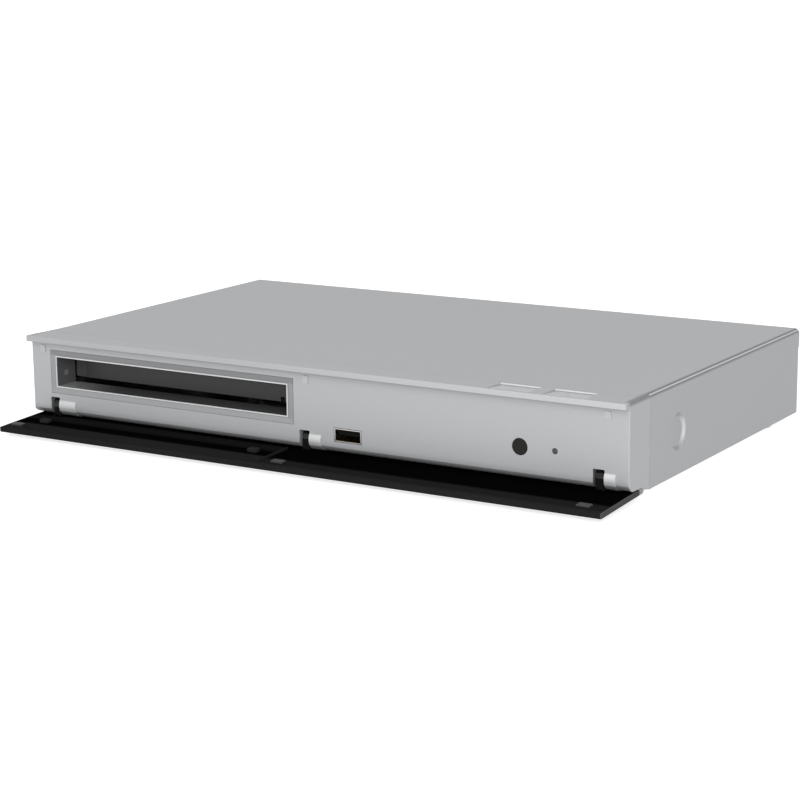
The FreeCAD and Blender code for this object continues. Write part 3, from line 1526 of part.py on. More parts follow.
# Traverse: drawn level, as it plays, then lowered about its pivot
traverse_half = 42.0
traverse_y0 = disc_y - 22.3
traverse_y1 = pivot_y + 4.0
plate_z0 = tray_z0 - 8.0
plate_z1 = plate_z0 + 1.5
travel_window_half = 34.0
travel_window_y0 = disc_y + 16.7
travel_window_y1 = pivot_y - 3.0
clip_half = 3.0
clip_length = 3.5
clip_ends = (travel_window_y0 - 2.5, travel_window_y1 - 1.0)
bearing_half = 2.5
bearing_floor = 0.8
spindle_hole_radius = 6.0
ear_thickness = 3.0
ear_radius = 4.0
rod_offset = 29.0
rod_radius = 1.5
rod_z = plate_z0 - 1.6
rod_y0 = travel_window_y0 - 1.5
rod_length = travel_window_y1 - travel_window_y0 + 2.5
sled_y0 = disc_y + 18.2
sled_length = 27.0
sled_half = 24.0
sled_below_rod = 2.6
deck_z = plate_z1 + 3.0
sleeve_reach = 3.2
sleeve_half = 2.8
nut_arm_y = sled_y0 + 4.0
nut_arm_length = 8.0
nut_arm_start = 2.0
nut_arm_half = 3.2
nut_arm_below_plate = 0.8
nut_gap = 0.35
cowl_half = 13.0
cowl_reach = (1.0, 20.0)
cowl_height = 2.4
pocket_half = (7.0, 4.0)
pocket_depth = 1.0
screw_x = disc_x + 38.0
screw_z = plate_z0 - 5.0
lead_screw_radius = 1.5
feed_motor_length = 12.0
feed_motor_radius = 4.9
feed_motor_seat_half = 3.5
feed_shaft_radius = 1.0
feed_shaft_reach = 4.0
feed_motor_y = travel_window_y1 - 14.0
cam_pin_radius = 1.25
cam_pin_z = tray_z0 - 10.0
cam_pin_x = disc_x + 20.0
cam_y0 = disc_y - 27.3
cam_thickness = 2.4
cam_travel = 16.0
cam_end = 9.0
cam_above_floor = 0.9
cam_plate_above_pin = 5.0
cam_rail_above_pin = 6.0
cam_rail_inset = 2.0
cam_slot_gap = 0.4
cam_ear_half = 4.0
cam_ear_thickness = 2.0
cam_ear_drop = 2.5
cam_pin_length = 3.0
spindle_radius = 13.0
spindle_height = 6.0
spindle_floor = 1.0
spindle_neck = (4.0, 2.0)
spindle_shaft_radius = 1.5
spindle_shaft_drop = 4.5
turntable_z = tray_z0 + 3.4
turntable_radius = 14.5
turntable_thickness = 2.6
turntable_dish_radius = 10.5
turntable_dish_depth = 0.4
turntable_sleeve_radius = 3.4
turntable_sleeve_gap = 2.0
cone_radius = 7.3
cone_height = 2.0
cone_sunk = 1.0
cone_flare = 0.2
cone_taper = 1.1
clamper_above_tray = 1.0
clamper_radius = 14.0
clamper_disc = 2.2
clamper_neck_radius = 11.0
clamper_neck_gap = 1.2
clamper_flange = 1.3
clamper_hollow_flare = (2.4, 1.0)
clamper_hollow_height = 3.0
lens_y = sled_y0 + 6.0
lens_travel = 0.4
holder_half = (6.2, 3.3)
holder_height = 2.6
lens_ring_radius = 2.8
lens_ring_low = 2.0
lens_ring_height = 1.2
glass_curve = 4.0
glass_radius = 2.2
glass_low = 2.5


def lowered(shape):
    """The traverse group tilts down at its front until the tray can pass."""
    return turned(shape, (disc_x, pivot_y, pivot_z), (1, 0, 0), traverse_tilt)


def traverse_frame():
    """Plate with the pickup's window, pivot ears, rod clips and the cam pin."""
    through = plate_z1 - plate_z0 + 2 * over
    plate = box(disc_x - traverse_half, disc_x + traverse_half, traverse_y0, traverse_y1, plate_z0, plate_z1)
    window = box(disc_x - travel_window_half, disc_x + travel_window_half, travel_window_y0,
                 travel_window_y1, plate_z0 - over, plate_z1 + over)
    spindle_hole = rod((disc_x, disc_y, plate_z0 - over), (0, 0, 1), spindle_hole_radius, through)
    parts = [plate.cut([window, spindle_hole])]
    for way in (-1, 1):
        outer = disc_x + way * (pivot_x + ear_thickness / 2)
        x0, x1 = sorted((disc_x + way * traverse_half, outer))
        parts.append(rod((x0, pivot_y, pivot_z), (1, 0, 0), ear_radius, x1 - x0))
        parts.append(box(x0, x1, pivot_y - ear_radius, pivot_y + ear_radius, pivot_z, plate_z1))
        x0, x1 = sorted((disc_x + way * (traverse_half - over), outer))
        parts.append(box(x0, x1, pivot_y - ear_radius, pivot_y + ear_radius, plate_z0, plate_z1))
    for x in (disc_x - rod_offset, disc_x + rod_offset):
        for y in clip_ends:
            parts.append(box(x - clip_half, x + clip_half, y, y + clip_length, rod_z - clip_half,
                             plate_z0 + join_overlap))
    bearing_y = clip_ends[0]
    parts.append(box(screw_x - bearing_half, screw_x + bearing_half, bearing_y, bearing_y + bearing_half,
                     screw_z - bearing_half, plate_z0 + join_overlap))
    ear_y1 = traverse_y0 + join_overlap
    ear_y0 = ear_y1 - cam_ear_thickness
    parts.append(box(cam_pin_x - cam_ear_half, cam_pin_x + cam_ear_half, ear_y0, ear_y1,
                     cam_pin_z - cam_ear_drop, plate_z1))
    parts.append(rod((cam_pin_x, ear_y0, cam_pin_z), (0, -1, 0), cam_pin_radius, cam_pin_length))
    frame = join(parts)
    reach = pivot_x + pivot_pin_start
    cuts = [rod((disc_x - reach, pivot_y, pivot_z), (1, 0, 0), pivot_radius + shaft_gap, 2 * reach)]
    for x in (disc_x - rod_offset, disc_x + rod_offset):
        cuts.append(rod((x, rod_y0, rod_z), (0, 1, 0), rod_radius, rod_length))
    cuts.append(rod((screw_x, bearing_y + bearing_floor, screw_z), (0, 1, 0), lead_screw_radius + shaft_gap,
                    bearing_half))
    return lowered(frame.cut(cuts))


def traverse_pins():
    """Two steel pins that carry the traverse in the loader's posts."""
    pins = []
    for way in (-1, 1):
        start = disc_x + way * (pivot_x + pivot_pin_start)
        pins.append(rod((start, pivot_y, pivot_z), (-way, 0, 0), pivot_radius, pivot_pin_length))
    return group(pins)


def spindle_motor():
    """Flat spindle motor under the plate."""
    low = plate_z0 - spindle_height
    neck_radius, neck_height = spindle_neck
    can = rod((disc_x, disc_y, low), (0, 0, 1), spindle_radius, spindle_height)
    neck = rod((disc_x, disc_y, plate_z0 - join_overlap), (0, 0, 1), neck_radius, neck_height + join_overlap)
    bore = rod((disc_x, disc_y, low + spindle_floor), (0, 0, 1), spindle_shaft_radius + shaft_gap,
               spindle_height + neck_height + over)
    return lowered(can.fuse(neck).removeSplitter().cut(bore))


def turntable():
    """Turntable with its centring cone and spindle."""
    low = turntable_z - turntable_thickness
    sleeve_z = plate_z1 + turntable_sleeve_gap
    shaft_z = plate_z0 - spindle_shaft_drop
    ring = rod((disc_x, disc_y, low), (0, 0, 1), turntable_radius, turntable_thickness)
    dish = rod((disc_x, disc_y, turntable_z - turntable_dish_depth), (0, 0, 1), turntable_dish_radius, over)
    hub = cone((disc_x, disc_y, turntable_z - cone_sunk), (0, 0, 1), cone_radius + cone_flare,
               cone_radius - cone_taper, cone_height + cone_sunk)
    sleeve = rod((disc_x, disc_y, sleeve_z), (0, 0, 1), turntable_sleeve_radius, low + join_overlap - sleeve_z)
    shaft = rod((disc_x, disc_y, shaft_z), (0, 0, 1), spindle_shaft_radius, low + join_overlap - shaft_z)
    return lowered(join([ring.cut(dish), hub, sleeve, shaft]))


def clamper():
    """Magnetic clamper that hangs in the bridge's hole."""
    low = tray_z1 + clamper_above_tray
    neck_z = low + clamper_disc - join_overlap
    flange_z = bridge_z0 + bridge_thickness + seat_gap
    wide, narrow = clamper_hollow_flare
    disc = rod((disc_x, disc_y, low), (0, 0, 1), clamper_radius, clamper_disc)
    neck = rod((disc_x, disc_y, neck_z), (0, 0, 1), clamper_neck_radius, flange_z + join_overlap - neck_z)
    flange = rod((disc_x, disc_y, flange_z), (0, 0, 1), clamper_radius, clamper_flange)
    hollow = cone((disc_x, disc_y, low - over), (0, 0, 1), cone_radius + wide, cone_radius + narrow,
                  clamper_hollow_height + over)
    return join([disc, neck, flange]).cut(hollow)


def clamper_bridge():
    """Pressed bridge across the loader that carries the clamper."""
    top = bridge_z0 + bridge_thickness
    through = bridge_thickness + 2 * over
    inset = bridge_rib_inset
    plate = box(loader_x0, loader_x1, disc_y - bridge_half, disc_y + bridge_half, bridge_z0, top)
    ribs = [
        box(loader_x0 + inset, loader_x1 - inset, y, y + bridge_rib_thickness, top - join_overlap,
            top + bridge_rib_height)
        for y in (disc_y - bridge_half, disc_y + bridge_half - bridge_rib_thickness)
    ]
    cuts = [rod((disc_x, disc_y, bridge_z0 - over), (0, 0, 1), clamper_neck_radius + clamper_neck_gap, through)]
    for x, y in bridge_screw_places():
        cuts.append(rod((x, y, bridge_z0 - over), (0, 0, 1), bridge_screw_radius + bridge_screw_gap, through))
    return join([plate] + ribs).cut(cuts)


def guide_rods():
    """Two steel rods that the sled slides on."""
    return group([
        lowered(rod((x, rod_y0, rod_z), (0, 1, 0), rod_radius, rod_length))
        for x in (disc_x - rod_offset, disc_x + rod_offset)
    ])


def pickup_sled():
    """Sled with two sleeves on the rods, a nut arm and a pocket for the lens holder."""
    y0 = sled_y0
    y1 = sled_y0 + sled_length
    parts = [box(disc_x - sled_half, disc_x + sled_half, y0, y1, rod_z - sled_below_rod, deck_z)]
    for way in (-1, 1):
        x0, x1 = sorted((disc_x + way * (sled_half - over), disc_x + way * (rod_offset + sleeve_reach)))
        parts.append(box(x0, x1, y0, y1, rod_z - sleeve_half, rod_z + sleeve_half))
    parts.append(box(disc_x + rod_offset + nut_arm_start, screw_x + nut_arm_half, nut_arm_y,
                     nut_arm_y + nut_arm_length, screw_z - nut_arm_half, plate_z0 - nut_arm_below_plate))
    parts.append(box(disc_x - cowl_half, disc_x + cowl_half, y0 + cowl_reach[0], y0 + cowl_reach[1],
                     deck_z - join_overlap, deck_z + cowl_height))
    sled = join(parts)
    half_x, half_y = pocket_half
    cuts = [box(disc_x - half_x, disc_x + half_x, lens_y - half_y, lens_y + half_y, deck_z - pocket_depth,
                deck_z + cowl_height + over)]
    for way in (-1, 1):
        cuts.append(rod((disc_x + way * rod_offset, y0 - over, rod_z), (0, 1, 0), rod_radius + shaft_gap,
                        sled_length + 2 * over))
    cuts.append(rod((screw_x, nut_arm_y - over, screw_z), (0, 1, 0), lead_screw_radius + nut_gap,
                    nut_arm_length + 2 * over))
    return lowered(sled.cut(cuts))


def objective_lens():
    """Lens in its small holder, free to move up and down in the sled's pocket."""
    low = deck_z - pocket_depth + lens_travel + seat_gap
    half_x, half_y = holder_half
    holder = box(disc_x - half_x, disc_x + half_x, lens_y - half_y, lens_y + half_y, low, deck_z + holder_height)
    ring = rod((disc_x, lens_y, deck_z + lens_ring_low), (0, 0, 1), lens_ring_radius, lens_ring_height)
    glass = Part.makeSphere(glass_curve, Vec(disc_x, lens_y, deck_z)).common(
        rod((disc_x, lens_y, deck_z + glass_low), (0, 0, 1), glass_radius, glass_curve))
    return lowered(join([holder, ring, glass]))


def feed_motor():
    """Small stepping motor at the rear end of the lead screw."""
    half = feed_motor_seat_half
    can = rod((screw_x, feed_motor_y, screw_z), (0, 1, 0), feed_motor_radius, feed_motor_length)
    seat = box(screw_x - half, screw_x + half, feed_motor_y, feed_motor_y + feed_motor_length, screw_z, plate_z0)
    bore = rod((screw_x, feed_motor_y - over, screw_z), (0, 1, 0), feed_shaft_radius + shaft_gap,
               feed_shaft_reach + 2 * over)
    return lowered(can.fuse(seat).removeSplitter().cut(bore))


def lead_screw():
    """Lead screw from its front bearing to the motor."""
    body = rod((screw_x, rod_y0, screw_z), (0, 1, 0), lead_screw_radius, feed_motor_y - seat_gap - rod_y0)
    shaft = rod((screw_x, feed_motor_y - over, screw_z), (0, 1, 0), feed_shaft_radius, feed_shaft_reach + over)
    return lowered(join([body, shaft]))


def cam_slider():
    """Slider with the sloping slot that lifts the traverse's pin."""
    low_z, high_z = cam_pin_heights()
    x0 = cam_pin_x - cam_travel - cam_end
    x1 = cam_pin_x + cam_end
    y1 = cam_y0 + cam_thickness
    plate_top = high_z + cam_plate_above_pin
    plate = box(x0, x1, cam_y0, y1, floor_z + cam_above_floor, plate_top)
    rail = box(x0 + cam_rail_inset, x1 - cam_rail_inset, cam_y0, y1, plate_top - join_overlap,
               high_z + cam_rail_above_pin)
    half = cam_pin_radius + cam_slot_gap
    slope = math.atan2(high_z - low_z, -cam_travel)
    side_x = -half * math.sin(slope)
    side_z = half * math.cos(slope)
    strip = along_y([
        (cam_pin_x + side_x, low_z + side_z), (cam_pin_x - cam_travel + side_x, high_z + side_z),
        (cam_pin_x - cam_travel - side_x, high_z - side_z), (cam_pin_x - side_x, low_z - side_z),
    ], cam_y0 - over, y1 + over)
    ends = [
        rod((cam_pin_x, cam_y0 - over, low_z), (0, 1, 0), half, cam_thickness + 2 * over),
        rod((cam_pin_x - cam_travel, cam_y0 - over, high_z), (0, 1, 0), half, cam_thickness + 2 * over),
    ]
    return join([plate, rail]).cut([strip] + ends)


def cam_pin_heights():
    """Height of the traverse's cam pin at the slider, lowered and raised."""
    reach = pivot_y - cam_y0 - cam_thickness / 2
    rise = cam_pin_z - pivot_z
    tilt = math.radians(traverse_tilt)
    return pivot_z + rise * math.cos(tilt) - reach * math.sin(tilt), cam_pin_z


nodes = {
    "front_panel": front_panel(),
    "tray_surround": tray_surround(),
    "front_flap": front_flap(),
    "flap_hinge_pins": flap_hinge_pins(),
    "flap_bumpers": flap_bumpers(),
    "panel_bumpers": panel_bumpers(),
    "top_cover": top_cover(),
    "bottom_chassis": bottom_chassis(),
    "rear_panel": rear_panel(),
    "feet": feet(),
    "cover_screws": cover_screws(),
    "panel_screws": panel_screws(),
    "board_screws": board_screws(),
    "power_button": button(power_x),
    "open_button": button(open_x),
    "button_switches": button_switches(),
    "receiver_window": lens_plug(window_x, window_radius),
    "status_light_guide": lens_plug(light_x, light_radius),
    "front_board": front_board(),
    "remote_receiver": remote_receiver(),
    "status_led": status_led(),
    "usb_shell": usb_shell(),
    "usb_insert": usb_insert(),
    "main_board": circuit_board(main_x0, main_x1, main_y0, main_corners),
    "main_chip": main_chip(),
    "heat_sink": heat_sink(),
    "hdmi_socket": hdmi_socket(),
    "lan_socket": lan_socket(),
    "optical_socket": optical_socket(),
    "power_board": circuit_board(power_x0, power_x1, power_y0, power_corners),
    "transformer": transformer(),
    "capacitors": capacitors(),
    "insulator_sheet": insulator_sheet(),
    "mains_inlet": mains_inlet(),
    "mains_pins": mains_pins(),
    "front_cable": front_cable(),
    "loader_cable": loader_cable(),
    "cable_plugs": cable_plugs(),
    "power_harness": power_harness(),
    "loader_frame": loader_frame(),
    "loader_screws": loader_screws(),
    "tray": tray(),
    "tray_gear": tray_gear(),
    "pulley_gear": pulley_gear(),
    "motor_pulley": motor_pulley(),
    "drive_belt": drive_belt(),
    "loading_motor": loading_motor(),
    "cam_slider": cam_slider(),
    "traverse_frame": traverse_frame(),
    "traverse_pins": traverse_pins(),
    "spindle_motor": spindle_motor(),
    "turntable": turntable(),
    "clamper": clamper(),
    "clamper_bridge": clamper_bridge(),
    "guide_rods": guide_rods(),
    "pickup_sled": pickup_sled(),
    "objective_lens": objective_lens(),
    "feed_motor": feed_motor(),
    "lead_screw": lead_screw(),
}

# The origin is the middle of the footprint's box, on the surface
boxes = [shape.BoundBox for shape in nodes.values()]
middle_y = (min(b.YMin for b in boxes) + max(b.YMax for b in boxes)) / 2
os.makedirs("parts", exist_ok=True)
for name, shape in nodes.items():
    placed = shape.copy()
    placed.translate(Vec(0, -middle_y, 0))
    placed.exportStep(f"parts/{name}.step")
    print(name, len(shape.Solids), shape.isValid(), round(shape.Volume, 1))
print("middle_y", round(middle_y, 4))
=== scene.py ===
import math
import bmesh
import bpy
import numpy as np
from mathutils import Matrix, Vector


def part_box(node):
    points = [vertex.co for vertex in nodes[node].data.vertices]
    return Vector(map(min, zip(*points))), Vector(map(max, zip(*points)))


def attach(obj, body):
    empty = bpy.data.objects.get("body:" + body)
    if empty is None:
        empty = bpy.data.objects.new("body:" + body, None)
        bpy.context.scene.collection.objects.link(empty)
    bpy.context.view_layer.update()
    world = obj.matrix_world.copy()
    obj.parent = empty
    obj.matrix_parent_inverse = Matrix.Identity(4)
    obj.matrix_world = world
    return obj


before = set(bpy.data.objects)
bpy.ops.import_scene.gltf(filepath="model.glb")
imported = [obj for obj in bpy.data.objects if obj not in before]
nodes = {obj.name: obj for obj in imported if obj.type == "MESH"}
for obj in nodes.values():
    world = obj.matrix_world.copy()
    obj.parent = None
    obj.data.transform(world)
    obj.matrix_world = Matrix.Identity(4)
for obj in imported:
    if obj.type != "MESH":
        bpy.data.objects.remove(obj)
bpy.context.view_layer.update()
mm = 0.001
print("frame loaded with", len(nodes), "nodes")


# Shader maths: a Flow is one socket, and sums and products of Flows add the Math nodes
class Flow:
    def __init__(self, tree, socket=None):
        self.tree = tree
        self.socket = socket

    # Any node: its type, its settings, then the values or links of its sockets
    def add(self, kind, settings=None, values=None, out=0):
        made = self.tree.nodes.new(kind)
        for key, value in (settings or {}).items():
            setattr(made, key, value)
        for key, value in (values or {}).items():
            if isinstance(value, Flow):
                self.tree.links.new(value.socket, made.inputs[key])
            else:
                made.inputs[key].default_value = value
        return Flow(self.tree, made.outputs[out])

    def math(self, operation, *values):
        return self.add("ShaderNodeMath", {"operation": operation}, dict(enumerate(values)))

    def __add__(self, other):
        return self.math("ADD", self, other)

    def __sub__(self, other):
        return self.math("SUBTRACT", self, other)

    def __rsub__(self, other):
        return self.math("SUBTRACT", other, self)

    def __mul__(self, other):
        return self.math("MULTIPLY", self, other)

    def __abs__(self):
        return self.math("ABSOLUTE", self)

    __radd__ = __add__
    __rmul__ = __mul__

    # 0 below the edge, 1 above it, soft over a width
    def above(self, edge, width):
        return self.add("ShaderNodeMapRange", {"interpolation_type": "SMOOTHSTEP"},
                        {0: self, 1: edge - width / 2, 2: edge + width / 2, 3: 0.0, 4: 1.0})

    def below(self, edge, width):
        return 1 - self.above(edge, width)

    def between(self, low, high, width):
        return self.above(low, width) * self.below(high, width)

    # Colours: as this goes from 0 to 1, the first one turns into the second
    def blend(self, first, second):
        return self.add("ShaderNodeMix", {"data_type": "RGBA"},
                        {0: self, 6: paint(first), 7: paint(second)}, out=2)


# A colour for a socket: a written one gets its alpha, and a Flow stays as it is
def paint(colour):
    return (*colour, 1.0) if isinstance(colour, tuple) else colour


# A new material: the flow for its nodes, its shader and the piece's own coordinates
def newMaterial(name):
    made = bpy.data.materials.new(name)
    made.use_nodes = True
    shader = made.node_tree.nodes["Principled BSDF"]
    flow = Flow(made.node_tree)
    place = flow.add("ShaderNodeTexCoord", out="Object")
    return made, flow, shader, place


def axesOf(flow, place):
    parts = flow.add("ShaderNodeSeparateXYZ", None, {0: place}).socket.node
    return [Flow(flow.tree, output) for output in parts.outputs]


def noise(flow, place, scale, detail=2.0, stretch=None):
    if stretch:
        place = flow.add("ShaderNodeMapping", None, {"Vector": place, "Scale": stretch})
    return flow.add("ShaderNodeTexNoise", None, {"Vector": place, "Scale": scale, "Detail": detail})


# A shader's socket takes a link where the value varies, and its own setting where it doesn't
def fasten(flow, shader, socket, value):
    if isinstance(value, Flow):
        flow.tree.links.new(value.socket, shader.inputs[socket])
    else:
        shader.inputs[socket].default_value = paint(value)


# What a finish has where its look says nothing else
plainLook = {"driftScale": 14.0, "drift": 0.06, "glossDrift": 0.06, "speckScale": 1400.0, "specks": 0.05,
             "glossSpecks": 0.05, "stretch": None, "grainScale": 2600.0, "grain": 0.12, "grainDepth": 0.00004,
             "metal": 0.0, "shine": 0.5, "coatRough": 0.1}


# Every finish: a tone that drifts slowly, fine specks, uneven gloss and a fine grain under light
def dress(flow, shader, place, look, colour=None):
    look = {**plainLook, **look}
    drift = noise(flow, place, look["driftScale"], detail=3.0) - 0.5
    specks = noise(flow, place, look["speckScale"], detail=1.0, stretch=look["stretch"]) - 0.5
    shade = 1 + drift * look["drift"] + specks * look["specks"]
    grey = flow.add("ShaderNodeCombineXYZ", None, {0: shade, 1: shade, 2: shade})
    base = look["colour"] if colour is None else colour
    tinted = flow.add("ShaderNodeMix", {"data_type": "RGBA", "blend_type": "MULTIPLY"},
                      {0: 1.0, 6: paint(base), 7: grey}, out=2)
    grain = noise(flow, place, look["grainScale"], stretch=look["stretch"])
    bump = flow.add("ShaderNodeBump", None, {
        "Strength": look["grain"], "Distance": look["grainDepth"], "Height": grain})
    gloss = look["rough"] + drift * look["glossDrift"] + specks * look["glossSpecks"]
    for socket, value in {"Base Color": tinted, "Roughness": gloss, "Normal": bump, "Metallic": look["metal"],
                          "Specular IOR Level": look["shine"], "Coat Roughness": look["coatRough"]}.items():
        fasten(flow, shader, socket, value)


def plainFinish(name, look):
    made, flow, shader, place = newMaterial(name)
    dress(flow, shader, place, look)
    return made


def wear(node, material):
    piece = nodes[node] if isinstance(node, str) else node
    piece.data.materials.clear()
    piece.data.materials.append(material)


# Case frame, in metres: mm back from the lid's front edge, below its top and in from its sides
(_, lidFrontY, _), (halfWidth, _, lidTopZ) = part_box("front_panel")


def depth(back):
    return lidFrontY + back * mm


def underLid(drop):
    return lidTopZ - drop * mm


def inFrom(inset):
    return halfWidth - inset * mm


def middle(low, high):
    return (low + high) / 2


# Distance from a centre in a plane
def reachOf(flow, across, along):
    return flow.math("SQRT", across * across + along * along)


# 1 where any of the masks is
def either(flow, *masks):
    return flow.math("MINIMUM", sum(masks[1:], masks[0]), 1.0)


# How wide the soft edge of a mask is, in metres
sharp, crisp, clean, soft = 0.0001, 0.0002, 0.0003, 0.001

silverLook = {"colour": (0.47, 0.475, 0.485), "rough": 0.50, "metal": 0.35, "drift": 0.03, "specks": 0.06,
              "speckScale": 2400.0, "glossSpecks": 0.08, "grain": 0.10, "grainDepth": 0.00003}
coverLook = {"colour": (0.395, 0.399, 0.408), "rough": 0.52, "metal": 0.35, "drift": 0.03, "specks": 0.07,
             "speckScale": 1900.0, "glossSpecks": 0.08, "grain": 0.16, "grainDepth": 0.00004}
flapLook = {"colour": (0.012, 0.012, 0.013), "rough": 0.42, "drift": 0.25, "specks": 0.2, "grain": 0.05,
            "shine": 0.0, "coatRough": 0.08}
trayLook = {"colour": (0.030, 0.030, 0.032), "rough": 0.48, "drift": 0.15, "specks": 0.2, "grain": 0.3,
            "grainScale": 1800.0, "grainDepth": 0.00006}
zincLook = {"colour": (0.52, 0.53, 0.54), "rough": 0.38, "metal": 1.0, "drift": 0.18, "driftScale": 60.0,
            "specks": 0.08, "grain": 0.08}
blackLook = {"colour": (0.014, 0.014, 0.015), "rough": 0.5, "drift": 0.2, "specks": 0.2, "grain": 0.2}
acetalLook = {"colour": (0.62, 0.61, 0.56), "rough": 0.42, "drift": 0.05, "specks": 0.04, "grain": 0.05}
gearLook = {"colour": (0.040, 0.040, 0.042), "rough": 0.46, "drift": 0.10, "specks": 0.10, "grain": 0.10,
            "shine": 0.1}
rubberLook = {"colour": (0.16, 0.16, 0.17), "rough": 0.7, "drift": 0.12, "specks": 0.2, "grain": 0.25}

# Painted shade along both folds of the lid: mm below its top, mm in from its sides, and its fade
foldLine = {"drop": 1.7, "inset": 2.0, "fade": 0.0014}


def foldOf(z, outward):
    fade = foldLine["fade"]
    return z.above(underLid(foldLine["drop"]), fade) * outward.above(inFrom(foldLine["inset"]), fade)


# Front moulding: satin silver outside, bare grey plastic behind the wall, and painted light and
# shade: painted shade over its lower part, on its top and side faces, along the folds and near
# black in the hinge slots, and painted highlights on the hinge knuckles, along the lip and in the key
# pockets. A name that ends in Y is mm back from the lid's front edge, in Drop mm below the lid's top,
# in Inset mm in from its sides, and in Top mm above the ground.
panelMoulding = {
    "paint": silverLook["colour"],
    "bare": (0.20, 0.20, 0.21), "bareY": (6.6, 40.0), "bareInset": 1.2, "bareDrop": 1.4, "bareEdge": 0.0006,
    "shade": (0.27, 0.275, 0.28), "shadeTop": 9.5, "shadeFade": 0.006,
    "knuckle": (0.66, 0.665, 0.67), "knuckleY": 3.6, "knuckleTop": 17.0,
    "lip": (0.455, 0.46, 0.47), "lipHighlightRight": (0.53, 0.535, 0.545), "lipFade": (0.03, 0.22),
    "lipY": 0.2, "lipDrop": (3.2, 0.2),
    "top": (0.395, 0.399, 0.407), "topDrop": 0.12, "side": (0.42, 0.424, 0.433), "sideInset": 0.15,
    "pocket": (0.50, 0.505, 0.51), "pocketY": (1.0, 12.6, 13.1), "pocketGap": 0.4,
    "pocketDrop": (2.6, 0.04), "pocketEdge": 0.00004, "glint": (0.90, 0.905, 0.91), "glintDrop": 0.6,
    "fold": (0.21, 0.213, 0.218), "foldY": 3.0, "foldStart": 0.003,
    "slot": (0.018, 0.018, 0.019), "slotLeft": (-149.3, -3.68, 143.3), "slotWidth": 5.4,
    "slotTop": 15.3, "slotY": 4.05}


def finishPanel():
    facts = panelMoulding
    made, flow, shader, place = newMaterial("satinSilverMoulding")
    x, y, z = axesOf(flow, place)
    outward = abs(x)
    front, back = map(depth, facts["bareY"])
    edge = facts["bareEdge"]
    bare = y.between(front, back, edge) * outward.below(inFrom(facts["bareInset"]), edge)
    bare = bare * z.below(underLid(facts["bareDrop"]), edge)
    # Painted shade: the moulding darkens towards the ground below shadeTop.
    tone = z.below(facts["shadeTop"] * mm, facts["shadeFade"]).blend(facts["paint"], facts["shade"])
    # Painted highlight: the hinge knuckles that stand proud of the face take a much paler tone.
    knuckles = y.below(depth(facts["knuckleY"]), sharp) * z.below(facts["knuckleTop"] * mm, crisp)
    tone = knuckles.blend(tone, facts["knuckle"])
    # Painted highlight along the lid's lip face, growing towards its right end.
    low, high = map(underLid, facts["lipDrop"])
    lip = y.below(depth(facts["lipY"]), sharp) * z.above(low, crisp) * z.below(high, crisp)
    tone = lip.blend(tone, x.above(*facts["lipFade"]).blend(facts["lip"], facts["lipHighlightRight"]))
    # Painted shade: the moulding's top face and side faces take darker tones than its front.
    tone = z.above(underLid(facts["topDrop"]), sharp).blend(tone, facts["top"])
    tone = outward.above(inFrom(facts["sideInset"]), sharp).blend(tone, facts["side"])
    # Painted light in the key pockets: walls paler than the paint, and a painted highlight along each rear
    # wall.
    gap = facts["pocketGap"] * mm
    keys = [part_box(node) for node in ("power_button", "open_button")]
    across = either(flow, *[x.between(low[0] - gap, high[0] + gap, sharp) for low, high in keys])
    low, high = map(underLid, facts["pocketDrop"])
    sunk = across * z.between(low, high, facts["pocketEdge"])
    front, rear, back = map(depth, facts["pocketY"])
    tone = (sunk * y.between(front, rear, sharp)).blend(tone, facts["pocket"])
    glint = sunk * y.between(rear, back, sharp) * z.above(underLid(facts["glintDrop"]), sharp)
    tone = glint.blend(tone, facts["glint"])
    # Painted shade along the lid's folds, from foldY back.
    fold = foldOf(z, outward) * y.above(depth(facts["foldY"]), facts["foldStart"])
    tone = fold.blend(tone, facts["fold"])
    # Painted shade, near black, on the walls seen inside the hinge slots.
    slotShade = [x.between(left * mm, (left + facts["slotWidth"]) * mm, sharp) for left in facts["slotLeft"]]
    slotShade = (slotShade[0] + slotShade[1] + slotShade[2]) * z.below(facts["slotTop"] * mm, sharp)
    slotShade = slotShade * y.above(depth(facts["slotY"]), sharp)
    tone = slotShade.blend(tone, facts["slot"])
    dress(flow, shader, place, silverLook, bare.blend(tone, facts["bare"]))
    return made


# Surround of the tray opening: each bevelled strip takes its own tone of painted shade, a darker
# outline of painted shade runs round its outer sides and bottom, the rim takes a thin painted
# highlight, and painted shade darkens the tunnel behind it from left to right. openInset is from the
# frame's sides, bottom and top.
surroundTones = {
    "upper": (0.26, 0.262, 0.268), "lower": (0.36, 0.363, 0.37), "sides": (0.33, 0.333, 0.34),
    "openInset": (5.2, 4.45, 4.85), "edgeWidth": 0.00012,
    "rim": (0.70, 0.705, 0.71), "rimWall": 0.8, "rimLine": 0.55,
    "outline": (0.19, 0.192, 0.197), "outlineSide": 0.45, "outlineLow": 0.75,
    "near": (0.36, 0.362, 0.366), "far": (0.080, 0.081, 0.083), "fadeAt": 17.0, "fadeWidth": 0.038,
    "tunnelY": 4.15, "wall": (0.135, 0.136, 0.138), "wallSkin": 0.1, "wallEdge": 0.00005,
    "patch": (0.28, 0.282, 0.286), "patchY": (9.2, 12.0), "patchDrop": (9.8, 7.4)}


